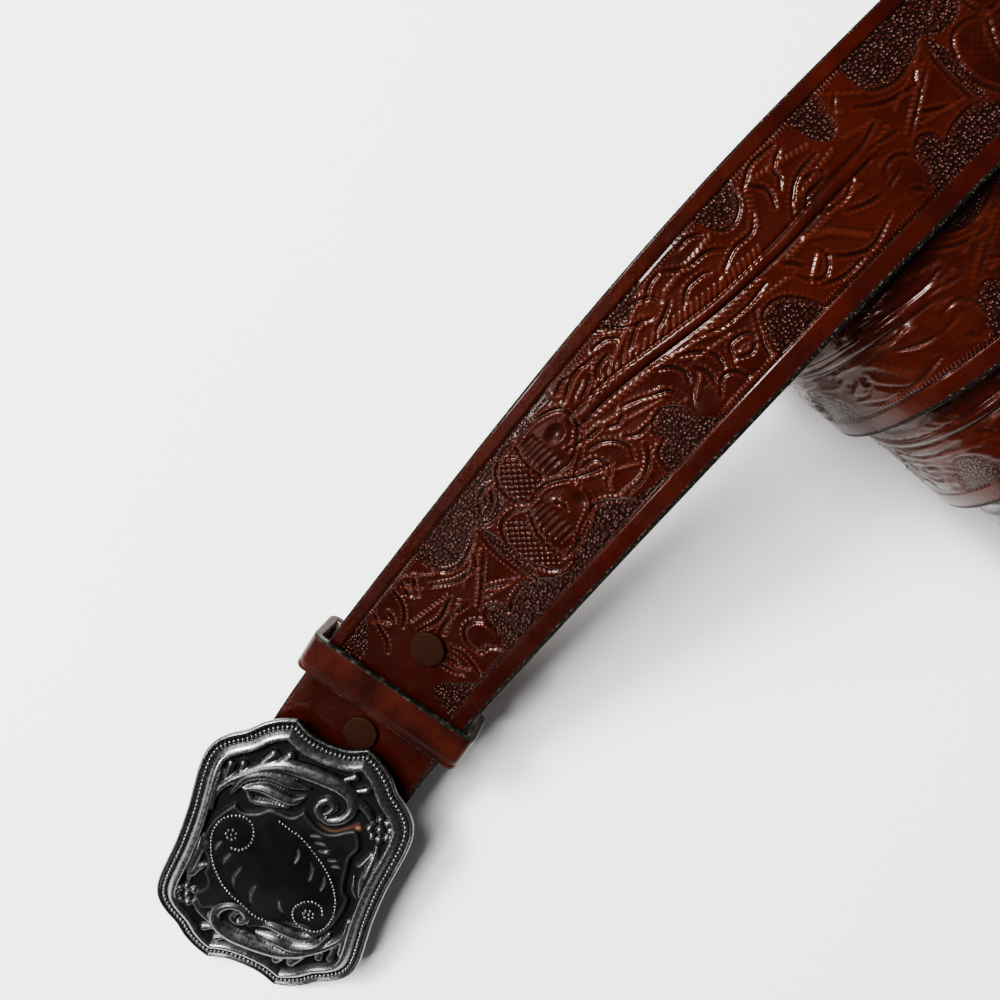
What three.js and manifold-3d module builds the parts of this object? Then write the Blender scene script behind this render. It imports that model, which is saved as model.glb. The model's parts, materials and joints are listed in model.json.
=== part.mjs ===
// Western tooled belt: a leather strap with a snapped fold, a keeper and a cast plate buckle.
// Millimetres, +Z up. The belt lies on the floor and runs along +X from its buckle to its roll.

import * as THREE from 'three';
import { mergeGeometries, mergeVertices } from 'three/addons/utils/BufferGeometryUtils.js';
import Module from 'manifold-3d';

const wasm = await Module();
wasm.setup();

// Strap
const STRAP_WIDTH = 44.5;
const STRAP_THICK = 3.5;
const STRAP_EDGE = 0.7;
const RUN_LENGTH = 222;
const FOLD_BACK = 84;
const LAYER_GAP = 0.4;
const LOOP_STRAIGHT = 9.5;
const LOOP_CLOSED = 24;
const TIP_LENGTH = 26;
const HOLE_DIAMETER = 4.6;
const HOLE_COUNT = 5;
const HOLE_PITCH = 25.4;
const LAST_HOLE_TO_TIP = 66;

// Roll that the strap leaves from its top
const ROLL_HEIGHT = 80.3;
const ROLL_FLAT = 38.5;
const ROLL_FIRST_FLAT = 43.5;
const ROLL_BENDS = 6;
const TURN_CLEARANCE = 1.1;

// Snaps, placed along the run from the fold
const SNAP_PLACES = [31, 65];
const SNAP_CAP_DIAMETER = 9.6;
const SNAP_CAP_HEIGHT = 1.1;
const SNAP_POST_DIAMETER = 4;
const SNAP_BASE_DIAMETER = 10.4;
const SNAP_BASE_HEIGHT = 1.2;
const SNAP_HOLE_CLEARANCE = 0.25;
const SEAT_GAP = 0.2;

// Keeper
const KEEPER_PLACE = 44;
const KEEPER_WIDTH = 11.5;
const KEEPER_THICK = 2.3;
const KEEPER_SIDE_ROOM = 1.6;
const KEEPER_TOP_ROOM = 0.45;
const KEEPER_BOTTOM_ROOM = 2.6;
const KEEPER_CORNER = 2.6;
const KEEPER_SKEW = 4;

// Buckle plate
const PLATE_LENGTH = 84.6;
const PLATE_WIDTH = 63.2;
const PLATE_BEND_RADIUS = 190;
const PLATE_BACK = -2.9;
const PLATE_HEADING = 16.4;
const PLATE_TILT = 15;
const FIELD_FLOOR = -1.2;
const BEAD_PITCH = 2.2;
const BEAD_RADIUS = 0.86;
const BEAD_SINK = 0.22;
const BEAD_INSET = 2.6;
const CHANNEL_FLOOR = -0.8;

// Bale and hook on the back of the plate
const BAR_DIAMETER = 4;
const BAR_PLAY = 0.8;
const BAR_INSIDE_FOLD = 2.7;
const BAR_SLIDE = 2;
const BAR_FROM_CENTRE = 15;
const BAR_DROP = 14.5;
const LUG_THICK = 2.4;
const LUG_WIDTH = 4.4;
const LUG_CLEARANCE = 3;
const HOOK_FROM_CENTRE = 30;
const HOOK_DIAMETER = 4.2;
const HOOK_LENGTH = 5.6;
const HOOK_LEAN = 24;

// Course of the strap from the fold to the top of the roll: share of the run, degrees
const RUN_COURSE = [
  { at: 0, slope: 6, heading: 11 },
  { at: 0.036, slope: 11, heading: 9.6 },
  { at: 0.123, slope: 17.1, heading: 3.6 },
  { at: 0.181, slope: 20.5, heading: 1.6 },
  { at: 0.296, slope: 23.5, heading: 0 },
  { at: 0.402, slope: 24.8, heading: 0 },
  { at: 0.619, slope: 24.4, heading: -1 },
  { at: 0.836, slope: 9.1, heading: -3.1 },
  { at: 1, slope: 0, heading: -5.4 },
];

// Lead of the roll's turns to one side: share of the roll's length, degrees
const ROLL_LEADS = [
  { at: 0, lead: 2.7 },
  { at: 0.3, lead: 8.5 },
  { at: 1, lead: 0.5 },
];

// Quarter of the plate's outline: shares of the half length and half width
const CROWN = [
  { x: 0.93, y: 0 },
  { x: 0.944, y: 0.17 },
  { x: 1, y: 0.335 },
];
const FLANK = [
  { x: 1, y: 0.335 },
  { x: 0.955, y: 0.475 },
  { x: 0.885, y: 0.605 },
  { x: 0.8, y: 0.71 },
  { x: 0.735, y: 0.83 },
  { x: 0.66, y: 0.925 },
  { x: 0.57, y: 0.975 },
  { x: 0.45, y: 0.985 },
  { x: 0.3, y: 0.968 },
  { x: 0.15, y: 0.95 },
  { x: 0, y: 0.945 },
];

// Section of the rim: millimetres in from the outline, and height
const RIM = [
  { inset: 0.5, height: PLATE_BACK },
  { inset: 0, height: -1.7 },
  { inset: 0.1, height: -0.3 },
  { inset: 0.55, height: 0 },
  { inset: 1.9, height: CHANNEL_FLOOR },
  { inset: 3.3, height: CHANNEL_FLOOR },
  { inset: 5.7, height: 0.65 },
  { inset: 6.2, height: 0.7 },
  { inset: 6.7, height: FIELD_FLOOR },
];

// Half outline of the smooth middle panel, turned half round for the other half
const PANEL = [
  { x: 0, y: 0.68 },
  { x: 0.14, y: 0.71 },
  { x: 0.26, y: 0.68 },
  { x: 0.34, y: 0.58 },
  { x: 0.34, y: 0.46 },
  { x: 0.4, y: 0.33 },
  { x: 0.42, y: 0.2 },
  { x: 0.46, y: 0.08 },
  { x: 0.53, y: -0.03 },
  { x: 0.44, y: -0.09 },
  { x: 0.42, y: -0.25 },
  { x: 0.34, y: -0.42 },
  { x: 0.25, y: -0.53 },
  { x: 0.13, y: -0.62 },
];

// Raised foliage of one half: shares of the plate along the middle of each stem, half width in mm
const FOLIAGE = {
  scroll: [
    { x: 0.6, y: 0.46, half: 0.5 },
    { x: 0.69, y: 0.25, half: 1.3 },
    { x: 0.722, y: 0.02, half: 1.9 },
    { x: 0.71, y: -0.2, half: 2 },
    { x: 0.66, y: -0.35, half: 1.9 },
    { x: 0.565, y: -0.4, half: 1.7 },
    { x: 0.485, y: -0.33, half: 1.5 },
    { x: 0.472, y: -0.22, half: 1.2 },
    { x: 0.495, y: -0.13, half: 1.2 },
    { x: 0.56, y: -0.13, half: 1.1 },
    { x: 0.588, y: -0.21, half: 1 },
    { x: 0.545, y: -0.26, half: 1.2 },
  ],
  upperLobe: [
    { x: 0.42, y: 0.66, half: 0.8 },
    { x: 0.54, y: 0.54, half: 1.5 },
    { x: 0.595, y: 0.37, half: 1.9 },
    { x: 0.6, y: 0.2, half: 1.6 },
    { x: 0.6, y: 0.03, half: 0.4 },
  ],
  lowerLobe: [
    { x: 0.41, y: 0.63, half: 0.8 },
    { x: 0.48, y: 0.48, half: 1.3 },
    { x: 0.5, y: 0.33, half: 1.5 },
    { x: 0.485, y: 0.18, half: 1.2 },
    { x: 0.465, y: 0.09, half: 0.4 },
  ],
  leafCurl: [
    { x: 0.38, y: 0.66, half: 0.8 },
    { x: 0.425, y: 0.56, half: 1.1 },
    { x: 0.41, y: 0.45, half: 1 },
    { x: 0.36, y: 0.46, half: 0.9 },
  ],
  sprigOne: [
    { x: 0.55, y: 0.53, half: 0.8 },
    { x: 0.65, y: 0.45, half: 0.9 },
    { x: 0.74, y: 0.4, half: 1.2 },
  ],
  sprigTwo: [
    { x: 0.64, y: 0.37, half: 0.7 },
    { x: 0.72, y: 0.31, half: 0.8 },
    { x: 0.745, y: 0.29, half: 1.1 },
  ],
  sprigThree: [
    { x: 0.46, y: 0.6, half: 0.8 },
    { x: 0.53, y: 0.6, half: 0.8 },
    { x: 0.6, y: 0.61, half: 1.2 },
  ],
  sprigFour: [
    { x: 0.4, y: 0.68, half: 0.8 },
    { x: 0.48, y: 0.69, half: 0.8 },
    { x: 0.56, y: 0.73, half: 1.2 },
  ],
  sprigFive: [
    { x: 0.16, y: 0.77, half: 0.5 },
    { x: 0.3, y: 0.755, half: 0.9 },
    { x: 0.4, y: 0.76, half: 0.8 },
    { x: 0.47, y: 0.8, half: 1.1 },
  ],
  budOne: [
    { x: 0.72, y: -0.14, half: 0.6 },
    { x: 0.752, y: -0.18, half: 0.7 },
    { x: 0.762, y: -0.225, half: 1 },
  ],
  budTwo: [
    { x: 0.68, y: -0.32, half: 0.6 },
    { x: 0.715, y: -0.37, half: 0.7 },
    { x: 0.735, y: -0.43, half: 1.1 },
  ],
  flowerStem: [
    { x: 0.66, y: -0.38, half: 0.8 },
    { x: 0.62, y: -0.5, half: 0.9 },
    { x: 0.55, y: -0.58, half: 0.8 },
  ],
  sideLeaf: [
    { x: 0.37, y: -0.72, half: 0.6 },
    { x: 0.26, y: -0.74, half: 1.3 },
    { x: 0.14, y: -0.73, half: 1.2 },
    { x: 0.03, y: -0.76, half: 0.5 },
  ],
  lowerLeaf: [
    { x: 0, y: -0.72, half: 0.5 },
    { x: -0.14, y: -0.73, half: 1.1 },
    { x: -0.28, y: -0.74, half: 1 },
    { x: -0.4, y: -0.79, half: 0.4 },
  ],
};
const STEM_STEP = 3.5;
const STEM_RISE = 0.62;
const FLOWER_RISE = 0.35;
const FLOWER = { x: 0.475, y: -0.69, radius: 3.4, petals: 6 };

// Counts of steps in the faceted surfaces
const RUN_STEPS = 222;
const RUN_STRIDE = 6;
const BEND_STEPS = 9;
const FOLD_STEPS = 8;
const ROUND_SIDES = 16;
const CROWN_STEPS = 3;
const FLANK_STEPS = 12;
const FINEST_EDGE = 0.01;

const radians = THREE.MathUtils.degToRad;
const UP = new THREE.Vector3(0, 0, 1);

// General helpers

// Value of one column of a table, straight between its rows.
function pick(table, at, column) {
  const next = Math.max(1, table.findIndex((row) => row.at >= at));
  const low = table[next - 1];
  const high = table[next];
  const share = (at - low.at) / (high.at - low.at);
  return THREE.MathUtils.lerp(low[column], high[column], share);
}

// Point at a frame's own across, up and along distances.
function fromFrame(frame, across, up, along) {
  return frame.origin.clone()
    .addScaledVector(frame.side, across)
    .addScaledVector(frame.up, up)
    .addScaledVector(frame.along, along);
}

// Matrix that stands a shape, drawn upright along its own Y, on a frame's up direction.
function uprightMatrix(frame) {
  return new THREE.Matrix4()
    .makeBasis(frame.side, frame.up, frame.along.clone().negate())
    .setPosition(frame.origin);
}

// Boolean solid of a closed geometry.
function toSolid(geometry) {
  const bare = geometry.clone();
  bare.deleteAttribute('normal');
  bare.deleteAttribute('uv');
  const merged = mergeVertices(bare, 1e-5);
  const vertProperties = new Float32Array(merged.attributes.position.array);
  const triVerts = new Uint32Array(merged.index.array);
  return new wasm.Manifold(new wasm.Mesh({ numProp: 3, vertProperties, triVerts }));
}

// Largest body of a solid, without the slivers that a union may leave beside it.
function mainBody(solid) {
  return solid.decompose().reduce((most, next) => (next.volume() > most.volume() ? next : most));
}

// Geometry of a boolean solid.
function toGeometry(solid) {
  const mesh = solid.getMesh();
  const geometry = new THREE.BufferGeometry();
  geometry.setAttribute('position', new THREE.BufferAttribute(new Float32Array(mesh.vertProperties), 3));
  geometry.setIndex(new THREE.BufferAttribute(new Uint32Array(mesh.triVerts), 1));
  geometry.computeVertexNormals();
  return geometry;
}

// Closed skin over rings of equal count, fanned shut at both ends, with its faces outward.
function skinRings(rings) {
  const count = rings[0].length;
  const positions = rings.flat().flatMap((point) => [point.x, point.y, point.z]);
  const faces = [];
  for (let ring = 0; ring + 1 < rings.length; ring += 1) {
    for (let step = 0; step < count; step += 1) {
      const a = ring * count + step;
      const b = ring * count + ((step + 1) % count);
      faces.push([a, b, b + count], [a, b + count, a + count]);
    }
  }
  const last = (rings.length - 1) * count;
  for (let step = 1; step + 1 < count; step += 1) {
    faces.push([0, step + 1, step], [last, last + step, last + step + 1]);
  }
  return closedGeometry(positions, faces);
}

// Geometry of closed triangles, turned over where they enclose a negative volume.
function closedGeometry(positions, faces) {
  const corner = (index) => new THREE.Vector3().fromArray(positions, index * 3);
  const volume = faces.reduce((sum, face) => {
    const [a, b, c] = face.map(corner);
    return sum + a.dot(b.cross(c));
  }, 0);
  const turned = volume < 0 ? faces.map(([a, b, c]) => [a, c, b]) : faces;
  const geometry = new THREE.BufferGeometry();
  geometry.setAttribute('position', new THREE.Float32BufferAttribute(positions, 3));
  geometry.setIndex(turned.flat());
  return geometry;
}

// Course of the strap

// Directions of the strap at a slope and a heading in degrees.
function directions(slope, heading) {
  const steep = radians(slope);
  const turn = radians(heading);
  const level = new THREE.Vector3(Math.cos(turn), Math.sin(turn), 0);
  const along = level.clone().multiplyScalar(Math.cos(steep)).addScaledVector(UP, Math.sin(steep));
  const side = new THREE.Vector3(Math.sin(turn), -Math.cos(turn), 0);
  const up = new THREE.Vector3().crossVectors(side, along);
  return { along, side, up };
}

// Frames on the strap's face from the fold to the roll's top, which is at x = 0 and y = 0.
function runFrames() {
  const frames = [];
  const origin = new THREE.Vector3();
  const step = RUN_LENGTH / RUN_STEPS;
  for (let index = 0; index <= RUN_STEPS; index += 1) {
    const at = index / RUN_STEPS;
    const here = directions(pick(RUN_COURSE, at, 'slope'), pick(RUN_COURSE, at, 'heading'));
    if (index > 0) {
      origin.addScaledVector(frames[index - 1].along, step / 2);
      origin.addScaledVector(here.along, step / 2);
    }
    frames.push({ ...here, origin: origin.clone() });
  }
  const top = new THREE.Vector3(0, 0, ROLL_HEIGHT).sub(origin);
  frames.forEach((frame) => frame.origin.add(top));
  return frames;
}

const RUN = runFrames();

function frameOnRun(distance) {
  return RUN[Math.round((distance / RUN_LENGTH) * RUN_STEPS)];
}

// Distance between the middles of the two layers, wider where they open round the bar.
const FOLD_RADIUS = BAR_DIAMETER / 2 + BAR_PLAY + STRAP_THICK / 2;
function layerSpacing(distance) {
  const closed = THREE.MathUtils.smoothstep(distance, LOOP_STRAIGHT, LOOP_CLOSED);
  return THREE.MathUtils.lerp(2 * FOLD_RADIUS, STRAP_THICK + LAYER_GAP, closed);
}

// Stations at the middle of the leather, each with its outward side and its width.
function foldBackStations() {
  const stations = [];
  const last = Math.round((FOLD_BACK / RUN_LENGTH) * RUN_STEPS);
  for (let index = last; index >= 0; index -= RUN_STRIDE) {
    const distance = (index / RUN_STEPS) * RUN_LENGTH;
    const drop = STRAP_THICK / 2 + layerSpacing(distance);
    const frame = RUN[index];
    const out = frame.up.clone().negate();
    stations.push({ origin: fromFrame(frame, 0, -drop, 0), side: frame.side, up: out, width: STRAP_WIDTH });
  }
  return stations;
}

function foldStations() {
  const frame = RUN[0];
  const centre = fromFrame(frame, 0, -STRAP_THICK / 2 - FOLD_RADIUS, 0);
  const stations = [];
  for (let step = 1; step < FOLD_STEPS; step += 1) {
    const angle = Math.PI * (1 - step / FOLD_STEPS);
    const out = frame.up.clone().multiplyScalar(Math.cos(angle))
      .addScaledVector(frame.along, -Math.sin(angle));
    const origin = centre.clone().addScaledVector(out, FOLD_RADIUS);
    stations.push({ origin, side: frame.side, up: out, width: STRAP_WIDTH });
  }
  return stations;
}

function runStations() {
  return RUN.filter((frame, index) => index % RUN_STRIDE === 0).map((frame) => {
    const origin = fromFrame(frame, 0, -STRAP_THICK / 2, 0);
    return { origin, side: frame.side, up: frame.up, width: STRAP_WIDTH };
  });
}

// Turns of the roll: half circles joined by flats, each half turn a little smaller than the last,
// with a lead that carries every turn sideways.
function rollStations() {
  const top = RUN[RUN_STEPS];
  const heading = RUN_COURSE[RUN_COURSE.length - 1].heading + ROLL_LEADS[0].lead;
  const { along: forward, side: axis } = directions(0, heading);
  const firstRadius = (ROLL_HEIGHT - STRAP_THICK) / 2;
  const shrink = (STRAP_THICK + TURN_CLEARANCE) / 2;
  const radiusOf = (bend) => firstRadius - bend * shrink;
  const flatOf = (bend) => (bend === 0 ? ROLL_FIRST_FLAT : ROLL_FLAT);
  const moves = [];
  for (let bend = 0; bend < ROLL_BENDS; bend += 1) {
    for (let half = 0; half < 2; half += 1) {
      moves.push({ length: flatOf(bend) / 2, turn: 0 });
    }
    for (let step = 0; step < BEND_STEPS; step += 1) {
      moves.push({ length: (Math.PI * radiusOf(bend)) / BEND_STEPS, turn: Math.PI / BEND_STEPS });
    }
  }
  const total = moves.reduce((sum, move) => sum + move.length, 0);
  const stations = [];
  const place = fromFrame(top, 0, -STRAP_THICK / 2, 0);
  let turned = 0;
  let walked = 0;
  for (const move of moves) {
    const lead = radians(pick(ROLL_LEADS, walked / total, 'lead'));
    const middle = turned + move.turn / 2;
    const chord = move.turn === 0 ? 1 : Math.sin(move.turn / 2) / (move.turn / 2);
    place.addScaledVector(forward, Math.cos(middle) * move.length * chord);
    place.addScaledVector(UP, -Math.sin(middle) * move.length * chord);
    place.addScaledVector(axis, Math.tan(lead) * move.length);
    turned += move.turn;
    walked += move.length;
    const round = forward.clone().multiplyScalar(Math.cos(turned)).addScaledVector(UP, -Math.sin(turned));
    const up = forward.clone().multiplyScalar(Math.sin(turned)).addScaledVector(UP, Math.cos(turned));
    const side = axis.clone().multiplyScalar(Math.cos(lead)).addScaledVector(round, -Math.sin(lead));
    const toTip = (total - walked) / Math.cos(lead);
    stations.push({ origin: place.clone(), side, up, width: tipWidth(toTip), toTip });
  }
  return stations;
}

// Width near the tip, which closes in a half ellipse.
function tipWidth(toTip) {
  const share = Math.max(0, 1 - toTip / TIP_LENGTH);
  return STRAP_WIDTH * Math.max(0.2, Math.sqrt(1 - share * share));
}

// Section across the strap: a flat band with its edges taken off.
function strapRing(station) {
  const half = station.width / 2;
  const thick = STRAP_THICK / 2;
  const corners = [
    [-half, thick - STRAP_EDGE], [-half + STRAP_EDGE, thick],
    [half - STRAP_EDGE, thick], [half, thick - STRAP_EDGE],
    [half, STRAP_EDGE - thick], [half - STRAP_EDGE, -thick],
    [STRAP_EDGE - half, -thick], [-half, STRAP_EDGE - thick],
  ];
  const { origin, side, up } = station;
  return corners.map(([across, rise]) => origin.clone().addScaledVector(side, across).addScaledVector(up, rise));
}

// Round bar through a frame, along its up direction.
function drill(frame, diameter, length) {
  const bar = new THREE.CylinderGeometry(diameter / 2, diameter / 2, length, ROUND_SIDES);
  return toSolid(bar.applyMatrix4(uprightMatrix(frame)));
}

function strapGeometry() {
  const roll = rollStations();
  const stations = [...foldBackStations(), ...foldStations(), ...runStations(), ...roll];
  let solid = toSolid(skinRings(stations.map(strapRing)));
  for (const distance of SNAP_PLACES) {
    const frame = frameOnRun(distance);
    const hole = SNAP_POST_DIAMETER + 2 * SNAP_HOLE_CLEARANCE;
    solid = solid.subtract(drill(frame, hole, 6 * STRAP_THICK));
  }
  for (let hole = 0; hole < HOLE_COUNT; hole += 1) {
    const wanted = LAST_HOLE_TO_TIP + hole * HOLE_PITCH;
    const after = roll.findIndex((station) => station.toTip <= wanted);
    const near = roll[after];
    const before = roll[after - 1];
    const share = (before.toTip - wanted) / (before.toTip - near.toTip);
    const up = before.up.clone().lerp(near.up, share).normalize();
    const side = before.side.clone().lerp(near.side, share).normalize();
    const along = new THREE.Vector3().crossVectors(up, side);
    const origin = before.origin.clone().lerp(near.origin, share);
    solid = solid.subtract(drill({ origin, side, up, along }, HOLE_DIAMETER, 1.6 * STRAP_THICK));
  }
  return toGeometry(solid);
}

// Snaps

// A flat cap on the face, a post through both layers and a base under them.
function snapGeometry(distance) {
  const under = -2 * STRAP_THICK - LAYER_GAP - SEAT_GAP;
  const cap = SNAP_CAP_DIAMETER / 2;
  const post = SNAP_POST_DIAMETER / 2;
  const base = SNAP_BASE_DIAMETER / 2;
  const top = SEAT_GAP + SNAP_CAP_HEIGHT;
  const profile = [
    [0, under - SNAP_BASE_HEIGHT], [base - 0.5, under - SNAP_BASE_HEIGHT], [base, under - 0.4], [base, under],
    [post, under], [post, SEAT_GAP], [cap, SEAT_GAP], [cap, top - 0.35], [cap - 0.4, top], [0, top],
  ].map(([radius, height]) => new THREE.Vector2(radius, height));
  const lathe = new THREE.LatheGeometry(profile, ROUND_SIDES);
  return toGeometry(toSolid(lathe.applyMatrix4(uprightMatrix(frameOnRun(distance)))));
}

// Keeper

function roundedBox(left, bottom, right, top, radius, Kind) {
  const path = new Kind();
  path.moveTo(left + radius, bottom);
  path.lineTo(right - radius, bottom);
  path.absarc(right - radius, bottom + radius, radius, -Math.PI / 2, 0, false);
  path.lineTo(right, top - radius);
  path.absarc(right - radius, top - radius, radius, 0, Math.PI / 2, false);
  path.lineTo(left + radius, top);
  path.absarc(left + radius, top - radius, radius, Math.PI / 2, Math.PI, false);
  path.lineTo(left, bottom + radius);
  path.absarc(left + radius, bottom + radius, radius, Math.PI, 1.5 * Math.PI, false);
  return path;
}

// A band of leather round both layers, a little askew on the strap.
function keeperGeometry() {
  const frame = frameOnRun(KEEPER_PLACE);
  const skew = radians(KEEPER_SKEW);
  const side = frame.side.clone().multiplyScalar(Math.cos(skew)).addScaledVector(frame.along, Math.sin(skew));
  const along = new THREE.Vector3().crossVectors(frame.up, side);
  const half = STRAP_WIDTH / 2 + KEEPER_SIDE_ROOM;
  const roof = KEEPER_TOP_ROOM;
  const floor = -2 * STRAP_THICK - LAYER_GAP - KEEPER_BOTTOM_ROOM;
  const thick = KEEPER_THICK;
  const inner = Math.max(0.3, KEEPER_CORNER - thick);
  const outside = [-half - thick, floor - thick, half + thick, roof + thick, KEEPER_CORNER];
  const band = roundedBox(...outside, THREE.Shape);
  band.holes.push(roundedBox(-half, floor, half, roof, inner, THREE.Path));
  const options = { depth: KEEPER_WIDTH, bevelEnabled: false, curveSegments: 4 };
  const geometry = new THREE.ExtrudeGeometry(band, options);
  geometry.translate(0, 0, -KEEPER_WIDTH / 2);
  const turned = geometry.applyMatrix4(uprightMatrix({ origin: frame.origin, side, up: frame.up, along }));
  return toGeometry(toSolid(turned));
}

// Buckle, drawn flat with +X towards the strap and then bent over its length

const HALF_LENGTH = PLATE_LENGTH / 2;
const HALF_WIDTH = PLATE_WIDTH / 2;

function onPlate(row) {
  return new THREE.Vector2(row.x * HALF_LENGTH, row.y * HALF_WIDTH);
}

// Bends a point over the plate's long curve.
function bend(x, y, z) {
  const angle = x / PLATE_BEND_RADIUS;
  const radius = PLATE_BEND_RADIUS + z;
  return new THREE.Vector3(radius * Math.sin(angle), y, radius * Math.cos(angle) - PLATE_BEND_RADIUS);
}

function bendGeometry(geometry) {
  const position = geometry.attributes.position;
  for (let index = 0; index < position.count; index += 1) {
    const point = bend(position.getX(index), position.getY(index), position.getZ(index));
    position.setXYZ(index, point.x, point.y, point.z);
  }
  return geometry;
}

// Whole outline of the plate, counter-clockwise from the middle of the crown.
function plateOutline() {
  const crown = new THREE.SplineCurve(CROWN.map(onPlate)).getPoints(CROWN_STEPS);
  const flank = new THREE.SplineCurve(FLANK.map(onPlate)).getPoints(FLANK_STEPS);
  const quarter = [...crown.slice(0, -1), ...flank.slice(0, -1)];
  const end = flank[flank.length - 1];
  const far = quarter.slice(1).reverse().map((point) => new THREE.Vector2(-point.x, point.y));
  const upper = [...quarter, end, ...far];
  const lower = [...upper.slice(1).reverse()].map((point) => new THREE.Vector2(point.x, -point.y));
  const tail = new THREE.Vector2(-quarter[0].x, 0);
  return [...upper, tail, ...lower];
}

// Outline moved inward by a distance, square to its two neighbouring sides.
function insetOutline(outline, inset) {
  const count = outline.length;
  return outline.map((point, index) => {
    const before = outline[(index + count - 1) % count];
    const after = outline[(index + 1) % count];
    const arriving = point.clone().sub(before).normalize();
    const leaving = after.clone().sub(point).normalize();
    const inward = new THREE.Vector2(-arriving.y - leaving.y, arriving.x + leaving.x).normalize();
    const square = Math.max(0.7, inward.dot(new THREE.Vector2(-leaving.y, leaving.x)));
    return point.clone().addScaledVector(inward, inset / square);
  });
}

// Solid of stacked rings that shrinks to a middle point above and below.
function layeredSolid(rings) {
  const count = rings[0].length;
  const positions = rings.flat().flatMap((point) => [point.x, point.y, point.z]);
  const faces = [];
  for (let ring = 0; ring + 1 < rings.length; ring += 1) {
    for (let step = 0; step < count; step += 1) {
      const a = ring * count + step;
      const b = ring * count + ((step + 1) % count);
      faces.push([a, b, b + count], [a, b + count, a + count]);
    }
  }
  const first = rings.length * count;
  const last = (rings.length - 1) * count;
  const bottom = bend(0, 0, rings[0].level);
  const top = bend(0, 0, rings[rings.length - 1].level);
  positions.push(bottom.x, bottom.y, bottom.z, top.x, top.y, top.z);
  for (let step = 0; step < count; step += 1) {
    const next = (step + 1) % count;
    faces.push([first, next, step], [first + 1, last + step, last + next]);
  }
  return toSolid(closedGeometry(positions, faces));
}

function levelRing(points, share, level) {
  const ring = points.map((point) => bend(point.x * share, point.y * share, level));
  ring.level = level;
  return ring;
}

function platePanel() {
  const outline = plateOutline();
  const back = insetOutline(outline, RIM[0].inset);
  const field = insetOutline(outline, RIM[RIM.length - 1].inset);
  return layeredSolid([
    levelRing(back, 0.35, PLATE_BACK),
    levelRing(back, 0.7, PLATE_BACK),
    ...RIM.map((row) => levelRing(insetOutline(outline, row.inset), 1, row.height)),
    levelRing(field, 0.7, FIELD_FLOOR),
    levelRing(field, 0.35, FIELD_FLOOR),
  ]);
}

// Row of small beads in the rim's channel.
function beadRow() {
  const line = insetOutline(plateOutline(), BEAD_INSET);
  const path = new THREE.CurvePath();
  line.forEach((point, index) => path.add(new THREE.LineCurve(point, line[(index + 1) % line.length])));
  const count = Math.round(path.getLength() / BEAD_PITCH);
  const beads = [];
  for (let index = 0; index < count; index += 1) {
    const place = path.getPointAt(index / count);
    const bead = new THREE.OctahedronGeometry(BEAD_RADIUS);
    beads.push(bendGeometry(bead.translate(place.x, place.y, CHANNEL_FLOOR - BEAD_SINK)));
  }
  return toSolid(mergeGeometries(beads));
}

// Smooth domed panel in the middle of the field.
function middlePanel() {
  const half = PANEL.map(onPlate);
  const turned = half.map((point) => point.clone().negate());
  const outline = [...half, ...turned].reverse();
  return layeredSolid([
    levelRing(outline, 1, FIELD_FLOOR - 0.4),
    levelRing(outline, 1, -0.1),
    levelRing(outline, 0.95, 0.25),
    levelRing(outline, 0.5, 0.9),
  ]);
}

// One raised stem: a rounded ridge along a table's curve, from below the field to its own rise.
function ridge(rows) {
  const path = new THREE.SplineCurve(rows.map(onPlate));
  const steps = Math.max(3, Math.round(path.getLength() / STEM_STEP));
  const last = rows.length - 1;
  const rings = [];
  for (let step = 0; step <= steps; step += 1) {
    const at = step / steps;
    const place = path.getPoint(at);
    const tangent = path.getTangent(at);
    const row = Math.min(last - 1, Math.floor(at * last));
    const half = THREE.MathUtils.lerp(rows[row].half, rows[row + 1].half, at * last - row);
    const crest = FIELD_FLOOR + STEM_RISE + half * 0.75;
    const section = [[-1, FIELD_FLOOR - 0.4], [-0.92, crest - half * 0.75], [0, crest],
      [0.92, crest - half * 0.75], [1, FIELD_FLOOR - 0.4]];
    rings.push(section.map(([across, level]) => {
      const x = place.x - tangent.y * across * half;
      const y = place.y + tangent.x * across * half;
      return bend(x, y, level);
    }));
  }
  return toSolid(skinRings(rings));
}

// Small flower: a ring of petals round a bead.
function flower() {
  const centre = onPlate(FLOWER);
  const domes = [centre];
  for (let petal = 0; petal < FLOWER.petals; petal += 1) {
    const angle = (petal / FLOWER.petals) * 2 * Math.PI;
    const out = FLOWER.radius * 0.66;
    domes.push(new THREE.Vector2(centre.x + out * Math.cos(angle), centre.y + out * Math.sin(angle)));
  }
  return domes.map((dome) => {
    const ball = new THREE.OctahedronGeometry(FLOWER.radius * 0.31);
    return toSolid(bendGeometry(ball.translate(dome.x, dome.y, FIELD_FLOOR + FLOWER_RISE)));
  }).reduce((all, next) => all.add(next));
}

// Two lugs and the bar that runs through the strap's fold.
function bale() {
  const reach = STRAP_WIDTH / 2 + LUG_CLEARANCE + LUG_THICK;
  const under = bend(BAR_FROM_CENTRE, 0, PLATE_BACK / 2);
  const bar = new THREE.CylinderGeometry(BAR_DIAMETER / 2, BAR_DIAMETER / 2, 2 * reach - 1, ROUND_SIDES);
  let solid = toSolid(bar.translate(BAR_FROM_CENTRE, 0, -BAR_DROP));
  for (const way of [-1, 1]) {
    const height = under.z + BAR_DROP + BAR_DIAMETER / 2 + 0.4;
    const lug = new THREE.BoxGeometry(LUG_WIDTH, LUG_THICK, height);
    lug.translate(BAR_FROM_CENTRE, way * (reach - LUG_THICK / 2), under.z - height / 2);
    solid = solid.add(toSolid(lug));
  }
  return solid;
}

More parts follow.
